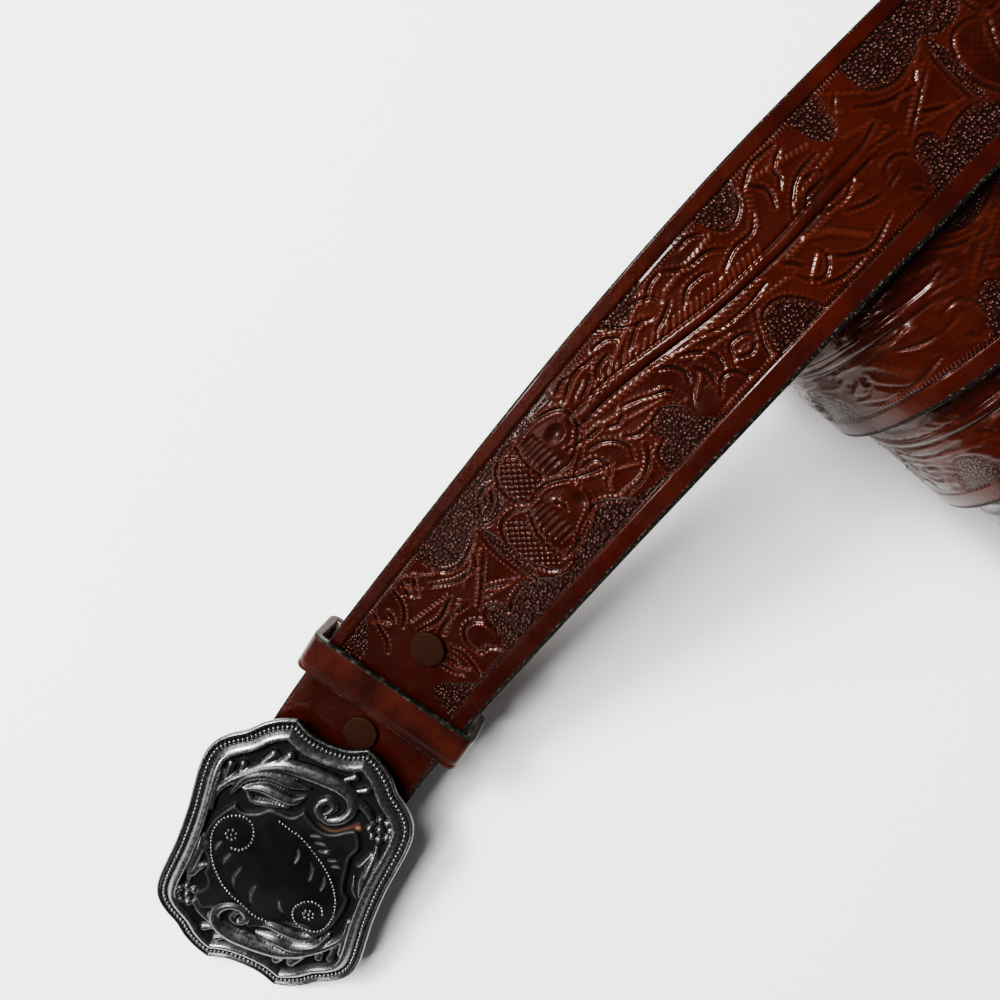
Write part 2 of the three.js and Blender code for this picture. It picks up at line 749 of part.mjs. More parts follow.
// Short hook that goes into a hole of the strap.
function hook() {
  const sink = 1;
  const pin = new THREE.CylinderGeometry(HOOK_DIAMETER / 2 - 0.3, HOOK_DIAMETER / 2, HOOK_LENGTH + sink, 12);
  pin.translate(0, (HOOK_LENGTH + sink) / 2 - sink, 0);
  pin.rotateX(-Math.PI / 2);
  pin.rotateY(radians(HOOK_LEAN));
  const foot = bend(-HOOK_FROM_CENTRE, 0, PLATE_BACK);
  return toSolid(pin.translate(foot.x, foot.y, foot.z));
}

// Bar's middle, in the fold of the strap.
const BAR_MIDDLE = fromFrame(RUN[0], -BAR_SLIDE, -STRAP_THICK / 2 - FOLD_RADIUS, BAR_INSIDE_FOLD);

function buckleGeometry() {
  const half = Object.values(FOLIAGE).map(ridge).reduce((all, next) => all.add(next), flower());
  const turned = half.rotate([0, 0, 180]);
  const solid = [beadRow(), half, turned, middlePanel(), bale(), hook()]
    .reduce((all, next) => all.add(next), platePanel());
  const { along, side, up } = directions(PLATE_TILT, PLATE_HEADING);
  const matrix = new THREE.Matrix4().makeBasis(along, side.clone().negate(), up);
  const bar = new THREE.Vector3(BAR_FROM_CENTRE, 0, -BAR_DROP).applyMatrix4(matrix);
  matrix.setPosition(BAR_MIDDLE.clone().sub(bar));
  return toGeometry(mainBody(solid.simplify(FINEST_EDGE))).applyMatrix4(matrix);
}

// Assembly

function piece(name, geometry, colour, roughness, metalness) {
  const material = new THREE.MeshStandardMaterial({ color: colour, roughness, metalness });
  material.name = `${name}_material`;
  const mesh = new THREE.Mesh(geometry, material);
  mesh.name = name;
  return mesh;
}

const group = new THREE.Group();
group.name = 'western_tooled_belt';
group.add(piece('strap', strapGeometry(), 0x6b2413, 0.42, 0));
group.add(piece('keeper', keeperGeometry(), 0x5a2015, 0.5, 0));
SNAP_PLACES.forEach((distance, index) => {
  group.add(piece(`snap_${index + 1}`, snapGeometry(distance), 0x3a2016, 0.6, 0.2));
});
group.add(piece('buckle_plate', buckleGeometry(), 0x5b5c5e, 0.38, 1));

// The middle of the footprint goes to the origin and the lowest point to the floor.
const box = new THREE.Box3().setFromObject(group);
const middle = box.getCenter(new THREE.Vector3());
group.children.forEach((mesh) => mesh.geometry.translate(-middle.x, -middle.y, -box.min.z));

export default group;
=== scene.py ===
import json
import math

import bpy
import numpy as np
from mathutils import Matrix


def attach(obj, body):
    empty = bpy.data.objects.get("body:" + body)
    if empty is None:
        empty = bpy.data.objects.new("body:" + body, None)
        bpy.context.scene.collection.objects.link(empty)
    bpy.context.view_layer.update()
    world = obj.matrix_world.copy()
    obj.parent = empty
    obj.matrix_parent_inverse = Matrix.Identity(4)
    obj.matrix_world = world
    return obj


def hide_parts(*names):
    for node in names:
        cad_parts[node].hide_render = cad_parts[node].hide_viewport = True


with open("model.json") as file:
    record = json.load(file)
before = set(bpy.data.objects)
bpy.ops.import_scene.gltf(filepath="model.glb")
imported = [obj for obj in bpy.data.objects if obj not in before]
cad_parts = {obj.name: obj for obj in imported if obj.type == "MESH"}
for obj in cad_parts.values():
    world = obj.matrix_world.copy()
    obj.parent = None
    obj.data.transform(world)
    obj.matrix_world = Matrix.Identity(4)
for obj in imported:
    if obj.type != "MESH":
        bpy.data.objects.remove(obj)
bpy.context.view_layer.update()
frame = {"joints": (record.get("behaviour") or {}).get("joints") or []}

bl_info = {
    "name": "Western Tooled Belt",
    "version": (1, 0, 0),
    "blender": (4, 5, 0),
    "location": "View3D > Sidebar > Belt",
    "description": "Leather strap with tooled leaves, keeper, snaps and a cast plate buckle",
    "category": "Object",
}

MM = 0.001
SHARP_ANGLE = math.radians(40)

# Strap, in millimetres
STRAP_WIDTH = 44.5
STRAP_THICK = 3.5
STRAP_EDGE = 0.7
RUN_LENGTH = 222
FOLD_BACK = 84
LAYER_GAP = 0.4
LOOP_STRAIGHT = 9.5
LOOP_CLOSED = 24
TIP_LENGTH = 26
HOLE_COUNT = 5
HOLE_PITCH = 25.4
LAST_HOLE_TO_TIP = 66
ROLL_HEIGHT = 80.3
ROLL_FLAT = 38.5
ROLL_FIRST_FLAT = 43.5
ROLL_BENDS = 6
TURN_CLEARANCE = 1.1

# Keeper, in millimetres
KEEPER_PLACE = 44
KEEPER_THICK = 2.3
KEEPER_SIDE_GAP = 1.6
KEEPER_TOP_GAP = 0.45
KEEPER_UNDER_GAP = 2.6
KEEPER_CORNER = 1.45
KEEPER_EDGE = 0.55
KEEPER_CREASE = 1.9
KEEPER_SECOND_CREASE = 2.7
KEEPER_STEP = 1.2

# Snaps, in millimetres; each part has its radius, bottom, top and bevel over the strap's face
SNAP_PLACES = (31, 65)
SNAP_UNDER = -2 * STRAP_THICK - LAYER_GAP - 0.2
SNAP_PARTS = {
    "cap": (4.8, 0.2, 1.3, 0.42),
    "post": (2, SNAP_UNDER, 0.3, 0.05),
    "base": (5.2, SNAP_UNDER - 1.2, SNAP_UNDER, 0.35),
}

# The strap's lengths are separate objects that meet under the keeper, on top of the roll and inside it
FIRST_TURN_LENGTH = 164
SECOND_PART_LENGTH = 500
PLAIN_COLUMNS = 24
RUN_COLUMNS = 136
ROLL_COLUMNS = 100
FINE_STEP = 0.31
ROLL_STEP = 0.5
PLAIN_STEP = 1.5
FOLD_STEP = 2
FOLD_BEND_STEPS = 24
FAR_FROM_TIP = 900
TIP_FADE = 8
TIP_LEAST_SHARE = 0.2
INKED_EDGE_UPPER = 0.55
INKED_EDGE_LOWER = 1.5

# Buckle, in millimetres
PLATE_LENGTH = 84.6
PLATE_WIDTH = 63.2
PLATE_BEND_RADIUS = 190
PLATE_BACK = -2.9
PLATE_TILT = 15
BAR_DIAMETER = 4
BAR_PLAY = 0.8
BAR_INSIDE_FOLD = 2.7
BAR_SLIDE = 2
BAR_FROM_CENTRE = 15
BAR_DROP = 14.5
LUG_THICK = 2.4
LUG_WIDTH = 4.4
LUG_CLEARANCE = 3
HOOK_FROM_CENTRE = 30
HOOK_DIAMETER = 4.2
HOOK_LENGTH = 5.6
HOOK_LEAN = 24
BALE_BEVEL = 0.5
LUG_PAST_BAR = 0.4
FIELD_FLOOR = -1.2
FIELD_INSET = 6
RIDGE_INSET = 4.9
LIP_INSET = 0.6
COMMA_DEPTH = 0.22
COMMA_REACH = 1.5
PANEL_WALL = 0.9
PANEL_RISE = 1.05
PANEL_CROWN = 0.75
PANEL_CROWN_REACH = 22
PANEL_LIP = 0.16
FLOWER_EYE_RADIUS = 1.3
PETAL_RADIUS = 1.2
PETAL_REACH = 2.9
ROSETTE_RADIUS = 1.5
ROSETTE_BEADS = 7
BEAD_PITCH = 1.3
BEAD_INSET = 2.25
BEAD_LEVEL = -0.5
SMALL_BEAD_PITCH = 1.08

RUN_COURSE = {
    "at": (0, 0.036, 0.123, 0.181, 0.296, 0.402, 0.619, 0.836, 1),
    "slope": (6, 11, 17.1, 20.5, 23.5, 24.8, 24.4, 9.1, 0),
    "heading": (11, 9.6, 3.6, 1.6, 0, 0, -1, -3.1, -5.4),
}
ROLL_LEADS = {"at": (0, 0.3, 1), "lead": (2.7, 8.5, 0.5)}

# Tooled pattern: places along and across the strap, in millimetres
BORDER_UPPER = -18.2
BORDER_LOWER = 16.4
PATTERN_REPEAT = 150
PATTERN_BLEND = 8
RIDGE_PITCH = 1.15
GROUND_DEPTH = 0.42
CUT_DEPTH = 0.5
CUT_HALF = 0.33
RIDGE_LIFT = 0.26
RIDGE_OFFSET = 0.85
RIB_LIFT = 0.3
RIB_HALF = 0.34
STRIPE_DEPTH = 0.26
MESH_DEPTH = 0.22
MESH_PITCH = 1.9
BORDER_DEPTH = 0.3
UPPER_GROUND = (
    (44, -12), (52, -12.2), (55.5, -14), (58.5, -16.5), (59.5, -18.4), (83.5, -18.4), (84, -12.5),
    (85.5, -9.6), (89, -7.8), (92, -7.6), (96, -8.2), (100, -10), (103, -11.5), (106, -13.8),
    (112, -14.8), (114.5, -13.5), (117, -16.2), (120, -16.6), (139, -15.9), (140, -18.4),
    (157, -18.4), (160, -15.5), (164, -14), (168, -15.2), (171.5, -17.5), (172, -18.4),
    (189, -18.4), (190.5, -14), (192.5, -11.6), (195, -11.2), (198, -13), (200, -16.5),
    (200.5, -18.4), (217.5, -18.4), (218.5, -12), (220, -9), (222, -8),
)
LOWER_GROUND = (
    (44, 16.4), (52.5, 16.4), (53.5, 12), (55, 9), (57.5, 7.8), (60, 9), (61.5, 12), (64, 13.5),
    (65.5, 16.4), (79.5, 16.4), (80.5, 13.5), (81.8, 11), (82, 7.5), (84, 5.6), (86, 5.3), (88, 7),
    (88.5, 10), (92, 8.6), (97, 8.2), (101, 9.5), (104, 12.5), (108, 14.2), (110.5, 14.5),
    (113, 12.4), (118, 10.2), (122, 9), (125, 8.2), (128, 9.2), (131, 11.5), (133, 14), (138, 15),
    (143, 15.8), (144.5, 15.6), (146, 11.5), (149, 10), (149.3, 7), (152, 5.2), (155, 5.3),
    (157.3, 8), (157.5, 11), (160, 14), (161.5, 16.2), (180.8, 16.2), (182, 11), (183.5, 8.3),
    (187, 7), (190.5, 8.5), (193, 12), (195, 16.2), (222, 16.3),
)
# Ovals: middle along and across, half sizes, and lift
GROUND_OVALS = ((101.6, 0, 1.5, 9), (107, -10.5, 5, 3))
DOMES = {
    "upper_cup": (118.5, -10, 5.6, 6.6, 0.35),
    "upper_nut": (130.5, -9.7, 8.6, 6.6, 0.55),
    "lower_cup": (107.3, 3.2, 5, 8.6, 0.35),
    "lower_nut": (119, 3.3, 9.6, 7.9, 0.55),
    "berry": (163, 11.6, 3.6, 3.4, 0.3),
    "second_berry": (176, 11.6, 3.6, 3.2, 0.3),
    "bud": (77.8, 8.4, 4, 4.4, 0.3),
}
HOLLOWS = {"nut_eye": (133.6, -10.1, 2.9, 2.1, 0.6), "lower_eye": (125, 4.4, 1.7, 2.2, 0.25)}
CUPS = ("upper_cup", "lower_cup")
CUTS = {
    "vein_1": ((67, -4.6), (74, -2.6), (82, -4.4)),
    "vein_2": ((68, 0.4), (75, -0.8), (83, 0.6)),
    "vein_3": ((80, -9.6), (86, -5.4), (94, -3.4)),
    "vein_4": ((132.5, -5.2), (138, -3.4), (142.5, -3)),
    "vein_5": ((146, 7.6), (143.5, 10.5), (139.5, 12.4), (134, 12.2)),
    "vein_6": ((149, -2.2), (154, 0.4), (158.6, 3.4), (159.6, 7)),
    "vein_7": ((171, -0.2), (177, 2.6), (184, 3.6), (190, 3)),
    "vein_8": ((165.4, 12.8), (168.6, 10.2), (171.6, 11.4), (172.6, 14.4)),
    "vein_9": ((179, 15), (180.4, 11.4), (184, 5.4)),
    "vein_10": ((141, -12.8), (146.5, -15.4), (153, -14.6)),
    "vein_11": ((160, -17), (163, -13.2), (168, -10.4)),
    "vein_12": ((177, -15.4), (181, -12.2), (186.6, -11), (190, -8)),
    "vein_13": ((186, -5.6), (191, -7.2), (196, -6.8), (199, -9.6)),
    "vein_14": ((204, -2.4), (206.6, -5.2), (211, -8), (217, -8.4)),
    "vein_15": ((201, -14.6), (206, -17), (212, -16.4)),
    "vein_16": ((203, 8.6), (206.4, 12), (211.4, 14.4), (219, 12.4)),
    "vein_17": ((198, 12.6), (203, 14.6), (208, 14.8)),
    "vein_18": ((209, 1.4), (214, 3), (218.6, 1.4)),
    "petal_1": ((62.5, -16.5), (60.2, -13), (58.5, -9.5), (56, -7.5)),
    "petal_2": ((71.8, -16.2), (70.3, -12.5), (67.5, -9.8), (65, -8.6)),
    "petal_3": ((65.6, -13.8), (64.8, -11)),
    "petal_4": ((75.4, -16), (73.8, -13.5), (74.4, -11.2)),
    "petal_5": ((79, -14.6), (76.5, -12.6), (75.4, -10.6)),
    "big_leaf": ((100.6, -9), (99.4, -4), (99.2, 2), (99.8, 9)),
    "big_leaf_vein": ((84, 3.4), (88.5, 0.8), (93, -2), (97.5, -5)),
    "big_leaf_vein_2": ((88.4, 0.8), (92, 3), (95.5, 5.4)),
    "big_leaf_vein_3": ((92.5, -1.8), (93.3, -4.4), (95.6, -7)),
    "sprig_1": ((63.6, 5.5), (64.2, 9), (65.2, 11.8)),
    "sprig_2": ((66.6, 6), (67, 9)),
    "sprig_3": ((69.5, 4.6), (70.3, 8), (69.7, 11.6), (68.7, 15)),
    "bud_edge": ((74, 11.4), (73.5, 7.6), (75.6, 4.4), (79, 4.2), (81.6, 7), (81.7, 11), (79, 14.4)),
    "bud_leaf": ((74, 11.4), (76.6, 12), (78.6, 14.6)),
    "small_leaf": ((104.5, -10.4), (106, -13), (109.5, -14.6), (112.6, -14)),
    "small_leaf_under": ((104.8, -10.2), (109, -11), (112.5, -13.8)),
    "lower_cup_rim": ((114.6, -3.8), (112.5, -0.5), (110.8, 3), (110, 7), (110.6, 11.2)),
    "lower_cup_edge": ((114, -4), (110, -6), (106, -5.6), (103.4, -2), (102.5, 3), (103.8, 8), (106.6, 12),
                       (110.8, 12.6)),
    "lower_nut_upper": ((115.4, -3.7), (119, -4.2), (122.5, -3.6), (126, -1.2), (128.6, 1.8)),
    "lower_nut_under": ((127.9, 4), (126, 7.6), (121.5, 9.9), (116, 11.2), (111, 11.6)),
    "lower_nut_mark": ((120.4, 0.8), (121.3, 2.4), (120.9, 4)),
    "upper_cup_rim": ((124.9, -16.2), (123.4, -12), (122.9, -8), (123.5, -4.4)),
    "upper_cup_edge": ((124.4, -16.3), (119.5, -16.4), (115, -14), (113.2, -9.5), (114.2, -5), (118, -3.6)),
    "upper_nut_edge": ((125.4, -16), (131, -16), (136, -14.6), (139.2, -12.3), (139.2, -8), (136, -5),
                       (131, -2.9), (127, -3.6)),
    "stalk": ((122, -3.8), (126, -1.5), (129, 0.8), (133, 3), (137, 4.6)),
    "stalk_2": ((139.2, -6), (134, -2.6), (129.4, -0.4), (127, 1)),
    "scallop_1": ((144, -10.6), (147, -11.2), (149.3, -12.8)),
    "scallop_2": ((150, -10.8), (152, -12.3), (155.4, -12.4)),
    "scallop_3": ((154.6, -15.9), (158, -15), (160, -12.8)),
    "scallop_4": ((141, -15.6), (143.5, -16.4), (146, -16)),
    "scallop_5": ((160, -9.6), (163.5, -11.3), (166.5, -12)),
    "scallop_6": ((167, -7.8), (170, -8.6), (173.4, -9.9)),
    "scallop_7": ((169.6, -13.8), (173, -15.7), (176.5, -16)),
    "scallop_8": ((175, -7.2), (178, -8.9), (182, -8.5), (183.8, -7.6)),
    "scallop_9": ((182.6, -16.3), (186, -16.2), (188.4, -14.6)),
    "scallop_10": ((172, -11.5), (171, -14), (167, -16.2)),
    "rope_edge": ((202.6, -13.8), (204.3, -11.5), (204.3, -9), (203, -6.8)),
    "right_curl": ((206.3, -8.6), (208.2, -10.5), (208.6, -12.8), (212.6, -15)),
    "right_curl_2": ((211.6, -6.4), (214, -5.8), (215.6, -4.6)),
    "right_curl_3": ((207.5, -1.9), (210, -3.6), (214.4, -3.4)),
    "low_curl_1": ((130, -0.2), (134.4, 0.8), (136, 3), (135.6, 5.5), (133, 6.6), (131.5, 8.8)),
    "low_curl_2": ((136, -1.6), (139.5, -0.2), (142, 2.5), (142.7, 5.5), (141.4, 7.6)),
    "low_curl_3": ((144, 2.8), (146.5, 4.8), (151, 5.2)),
    "low_curl_4": ((142.8, -1.6), (145.4, -0.2), (148.2, -1.4)),
    "low_curl_5": ((160, -2.2), (162.8, 0), (164.1, 3), (163, 5.6)),
    "low_curl_6": ((165.5, -0.5), (169, 2), (171.3, 5.5), (170.6, 9)),
    "low_curl_7": ((166.2, 4), (167.4, 7), (166.5, 11)),
    "low_curl_8": ((173.2, 9.4), (175, 6.5), (179, 7.2), (180.2, 9.4)),
    "low_curl_9": ((174, 9.6), (177, 11.2), (178.7, 10.4)),
    "low_curl_10": ((195.4, 2.8), (197, 4.5), (198.3, 7)),
    "shell": ((195.8, 7), (197.4, 10.2), (200.2, 11.4), (203.2, 8.6), (202.2, 5.4)),
    "right_leaf": ((213, 5), (217, 7), (221, 8)),
    "disc_1": ((144.3, 15.8), (145.8, 11.4), (149.4, 10)),
    "disc_2": ((149.2, 9.8), (149.4, 6.8), (152, 5), (155, 5.2), (157.6, 8), (157.6, 11)),
    "disc_3": ((181.6, 12.5), (183.4, 8.2), (187, 6.8), (190.6, 8.4), (193.2, 12), (194.8, 15.8)),
    "disc_4": ((190.2, -15), (192.3, -11.6), (195, -11), (198.2, -12.8), (200, -16)),
    "ground_lobe": ((84, -12.8), (85.4, -9.6), (89, -7.6), (92.5, -7.4), (96.4, -8.2), (100, -9.6)),
    "ground_low": ((82, 10.6), (82, 7.5), (84, 5.4), (86.2, 5.2), (88.2, 7), (88.6, 9.8), (92, 8.4), (97, 8),
                   (101, 9.3)),
    "ground_mid": ((113, 12.2), (118, 10), (122, 8.8), (125, 8), (128, 9), (131, 11.3), (133, 13.6)),
}
STEM = ((139.5, -8.3), (150, -7.4), (160, -5.5), (170, -3.4), (180, -1.6), (190, -0.7), (200, -0.3),
        (211, -0.6), (222, -0.8))
STEM_HALF = 1.5
STEM_LIFT = 0.5
# Rows of short raised ribs: from, to, count, and the rib's own reach along and across
RIBS = {
    "low_border_1": ((163.5, 15.5), (180, 15.5), 17, (0, 0.9)),
    "low_border_2": ((202.5, 15.6), (212, 15.4), 9, (0, 0.9)),
    "shell_ribs": ((197.4, 9.8), (202, 7.2), 6, (1, -1.3)),
    "berry_ribs": ((161.8, 8.6), (165.6, 6.6), 5, (0.8, -0.9)),
    "leaf_bevel": ((202.4, 2.4), (207, 5.2), 7, (-0.7, 0.8)),
    "leaf_bevel_2": ((207.6, 5.7), (212.4, 12.2), 11, (-0.9, 0.4)),
    "curl_bevel": ((131.8, 8.8), (134.6, 5.8), 5, (0.7, 0.6)),
    "feather_1": ((146, -9.9), (157, -8.4), 6, (2.6, -1.9)),
    "feather_2": ((158.5, -8.2), (168.5, -6.2), 6, (2.6, -1.6)),
    "feather_3": ((170.5, -5.8), (183, -3.7), 9, (2.1, -2)),
    "feather_4": ((184, -3.6), (194, -2.6), 8, (1.6, -2.2)),
    "under_stem_1": ((143, -5.6), (164, -1.6), 14, (1, 1.3)),
    "under_stem_2": ((171, 0.4), (190, 2), 11, (1, 0.9)),
    "rope": ((197.4, -6.8), (201.6, -13.6), 8, (0.9, 0.7)),
    "petal_ribs_1": ((60.6, -15.4), (63, -11.6), 5, (1, 0.6)),
    "petal_ribs_2": ((74.8, -14.6), (77, -11), 5, (1.2, 0.7)),
    "left_ribs": ((66, 9.4), (67.6, 12), 3, (0.6, 0.9)),
    "low_dots_1": ((142, -3.2), (158, 1.6), 15, (0.5, 0.5)),
    "low_dots_2": ((146, 0.2), (156, 3.6), 9, (0.5, 0.5)),
    "low_dots_3": ((160, -2.6), (178, 2.8), 15, (0.5, 0.5)),
    "low_dots_4": ((132, 3.4), (141, 9.4), 9, (0.5, 0.5)),
    "low_dots_5": ((168, 3.2), (177, 5.2), 8, (0.5, 0.5)),
    "low_dots_6": ((131, 11), (142, 12.6), 9, (0.6, 0.7)),
    "low_dots_7": ((180, 3.4), (194, 6), 12, (0.6, 0.7)),
    "upper_dots_1": ((140, -12.4), (149, -14.6), 8, (0.6, -0.6)),
    "upper_dots_2": ((155, -10.4), (166, -14), 10, (0.7, -0.7)),
    "upper_dots_3": ((174, -12), (189, -12.8), 13, (0.8, -0.8)),
    "right_dots_1": ((206, -4.4), (220, -6.4), 12, (0.7, -0.8)),
    "right_dots_2": ((198, 3), (219, 3.2), 18, (0.7, 0.7)),
    "right_dots_3": ((204, -14.6), (217, -11), 12, (0.7, -0.7)),
    "leaf_dots_1": ((84, 2.4), (97, -5.6), 13, (0.6, 0.7)),
    "leaf_dots_2": ((86, -3), (96.6, -7), 9, (0.5, -0.6)),
    "leaf_dots_3": ((88, 3.4), (98, 6), 9, (0.5, 0.6)),
    "petal_dots_1": ((68, -7.4), (81, -4.6), 11, (0.6, 0.7)),
    "petal_dots_2": ((71, 1.6), (82, -1.6), 9, (0.6, 0.7)),
    "petal_dots_3": ((77, -16.6), (83, -11), 6, (0.8, 0.4)),
}
STRIPES = {
    "upper_nut": (124.4, 129.8, (-14, -12.9, -11.7, -10.3, -8.9, -7.2, -5.7)),
    "lower_nut": (112.8, 118.4, (-2.3, -0.7, 0.8, 2.4, 4.3, 6.1, 7.9)),
}

# Plate outline and ornament: shares of the half length and half width
CROWN = ((0.93, 0), (0.944, 0.17), (1, 0.335))
FLANK = ((1, 0.335), (0.955, 0.475), (0.885, 0.605), (0.8, 0.71), (0.735, 0.83), (0.66, 0.925),
         (0.57, 0.975), (0.45, 0.985), (0.3, 0.968), (0.15, 0.95), (0, 0.945))
RIM = {
    "inset": (0, 0.25, 0.6, 1, 1.45, 1.65, 2.85, 3.1, 4.2, 4.8, 5.4, 5.8, 6.1, 6.5),
    "height": (-0.6, -0.1, 0.05, -0.05, -0.6, -0.75, -0.75, -0.4, 0.42, 0.74, 0.8, 0.55, -0.5, FIELD_FLOOR),
}
PANEL = (
    (0.313, 0.573), (0.28, 0.476), (0.308, 0.371), (0.371, 0.275), (0.377, 0.169), (0.384, 0.063),
    (0.45, -0.012), (0.411, -0.104), (0.375, -0.213), (0.382, -0.318), (0.437, -0.417), (0.462, -0.512),
    (0.36, -0.601), (0.258, -0.563), (0.187, -0.577), (0.084, -0.594), (0.016, -0.624), (-0.019, -0.682),
    (-0.107, -0.687), (-0.195, -0.673), (-0.303, -0.639), (-0.398, -0.578), (-0.438, -0.502),
    (-0.425, -0.422), (-0.453, -0.321), (-0.495, -0.226), (-0.498, -0.152), (-0.519, -0.067),
    (-0.585, 0.071), (-0.546, 0.12), (-0.497, 0.224), (-0.512, 0.35), (-0.55, 0.445), (-0.59, 0.519),
    (-0.542, 0.59), (-0.465, 0.64), (-0.377, 0.569), (-0.322, 0.582), (-0.282, 0.625), (-0.219, 0.622),
    (-0.162, 0.646), (-0.109, 0.71), (-0.053, 0.735), (0.024, 0.74), (0.126, 0.715), (0.224, 0.655),
)
# Raised stems: share along, share across, half width in millimetres
FOLIAGE = {
    "scroll": ((0.123, 0.777, 0.5), (0.323, 0.76, 1), (0.435, 0.687, 1.4), (0.53, 0.571, 1.7),
               (0.609, 0.45, 2), (0.673, 0.285, 2.4), (0.694, 0.134, 2.6), (0.702, -0.042, 2.7),
               (0.699, -0.205, 2.6), (0.661, -0.343, 2.3), (0.58, -0.395, 1.9), (0.494, -0.351, 1.7),
               (0.445, -0.249, 1.5), (0.466, -0.139, 1.4), (0.521, -0.11, 1.4), (0.571, -0.175, 1.3),
               (0.544, -0.243, 1.3), (0.483, -0.211, 1)),
    "sprig_1": ((0.207, 0.751, 0.8), (0.332, 0.778, 1.2), (0.468, 0.802, 1.6)),
    "sprig_2": ((0.407, 0.727, 0.8), (0.47, 0.728, 1), (0.55, 0.726, 1.4)),
    "sprig_3": ((0.48, 0.637, 0.8), (0.53, 0.63, 1), (0.583, 0.625, 1.4)),
    "sprig_4": ((0.563, 0.516, 1), (0.648, 0.469, 1.4), (0.722, 0.41, 1.7)),
    "sprig_5": ((0.638, 0.392, 1), (0.695, 0.323, 1.4), (0.752, 0.273, 1.7)),
    "leaf_top": ((0.366, 0.635, 0.8), (0.506, 0.559, 1.7), (0.585, 0.383, 2.1), (0.586, 0.185, 2),
                 (0.598, 0.011, 0.6)),
    "leaf_mid": ((0.424, 0.546, 0.8), (0.475, 0.404, 1.7), (0.478, 0.262, 2), (0.475, 0.114, 1.7),
                 (0.53, 0.02, 0.5)),
    "leaf_low": ((0.42, 0.516, 0.8), (0.37, 0.433, 1.1), (0.39, 0.3, 1.1), (0.42, 0.12, 0.6)),
    "bud_1": ((0.717, -0.196, 0.9), (0.75, -0.25, 1), (0.79, -0.318, 1.4)),
    "bud_2": ((0.687, -0.338, 0.9), (0.71, -0.39, 1), (0.738, -0.454, 1.4)),
    "flower_stem": ((0.661, -0.388, 1.3), (0.608, -0.525, 1.3), (0.56, -0.6, 1)),
    "side_leaf": ((0.4, -0.72, 0.6), (0.347, -0.735, 1), (0.231, -0.735, 1.6), (0.123, -0.73, 1.6),
                  (0.025, -0.745, 0.7)),
    "side_leaf_2": ((0.219, -0.62, 0.5), (0.246, -0.66, 1), (0.336, -0.704, 0.8)),
    "side_leaf_3": ((0.138, -0.64, 0.4), (0.061, -0.675, 1), (0, -0.73, 0.6)),
}
FLOWER = (0.52, -0.69)
FLOWER_PETALS = 8
ROSETTES = ((0.087, 0.501), (-0.26, -0.396))
BEADED_CURVES = (
    ((0.312, 0.146), (0.283, 0.013), (0.265, -0.086), (0.211, -0.213), (0.158, -0.321), (0.087, -0.428),
     (0, -0.516), (-0.097, -0.581), (-0.205, -0.604), (-0.31, -0.577), (-0.371, -0.511), (-0.387, -0.406),
     (-0.357, -0.303), (-0.272, -0.253), (-0.187, -0.299), (-0.147, -0.383), (-0.163, -0.473),
     (-0.215, -0.51)),
    ((-0.003, 0.455), (0.009, 0.378), (0.077, 0.317), (0.161, 0.319), (0.225, 0.377), (0.242, 0.457),
     (0.224, 0.531), (0.186, 0.604), (0.113, 0.653), (0.025, 0.66), (-0.087, 0.619), (-0.192, 0.55),
     (-0.302, 0.422), (-0.356, 0.316), (-0.406, 0.175), (-0.447, 0.056), (-0.457, -0.098)),
)
COMMAS = (
    ((0.064, -0.105), (0.14, -0.11), (0.199, -0.072)),
    ((-0.02, -0.282), (0.07, -0.275), (0.14, -0.221)),
    ((-0.058, -0.406), (0.02, -0.41), (0.081, -0.38)),
    ((-0.109, 0.317), (-0.22, 0.35), (-0.324, 0.308)),
    ((-0.198, 0.141), (-0.3, 0.155), (-0.392, 0.111)),
    ((-0.047, 0.448), (-0.11, 0.48), (-0.175, 0.481)),
    ((0.015, 0.561), (-0.04, 0.59), (-0.095, 0.584)),
    ((0.301, -0.134), (0.318, -0.19), (0.32, -0.257)),
    ((0.236, -0.309), (0.252, -0.33), (0.258, -0.345)),
    ((0.185, -0.362), (0.2, -0.41), (0.208, -0.45)),
    ((-0.25, -0.1), (-0.31, -0.13), (-0.34, -0.2)),
    ((0.27, -0.2), (0.28, -0.26), (0.275, -0.32)),
    ((0.225, -0.25), (0.235, -0.31), (0.235, -0.36)),
    ((0.15, -0.41), (0.165, -0.45), (0.17, -0.5)),
)
COPPER_LINE = ((0.411, -0.104), (0.381, -0.21), (0.382, -0.318), (0.437, -0.417), (0.498, -0.493))
COPPER_SPOT = (0.468, -0.504)

# Back of the plate, from its middle to its edge: share of the outline and level in millimetres
BACK_RINGS = (
    (0.02, PLATE_BACK), (0.5, PLATE_BACK), (0.97, PLATE_BACK), (0.988, -2.7), (0.998, -2.1), (1, -1.3),
)
RIM_SHARE = 0.755
FAR_INSIDE_SHARE = 0.68
FAR_INSET = 9
RINGS_IN_RIM = 46
RINGS_INSIDE = 74
OUTLINE_POINTS = 680
NOTHING = -9.0

# Stage: places in metres, except where the camera stands from the second snap, in millimetres
LIGHT_AIM = (0, 0, 0.03)
KEY_PLACE = (-0.05, 0.8, 0.95)
KEY_SIZE = 0.26
SPARK_PLACE = (-0.75, 0.35, 0.9)
SPARK_SIZE = 0.12
SPARK_SHARE = 1 / 6
FILL_PLACE = (-0.1, 0.85, 1.2)
FILL_SIZE = 1.1
ROOM_COLOUR = (0.93, 0.95, 1, 1)
ROOM_STRENGTH = 0.11
FLOOR_SIZE = 8
CAMERA_FROM_SNAP = (43.1, 8.8)
CAMERA_TURN = -50.8
CAMERA_SHIFT = -0.006


# General helpers


def table(columns, at, column):
    """Value of one column of a table, straight between its rows."""
    return np.interp(at, columns["at"], columns[column])


def smooth(low, high, value):
    """Zero at low, one at high, with eased ends; low may be the larger one."""
    share = np.clip((value - low) / (high - low), 0, 1)
    return share * share * (3 - 2 * share)


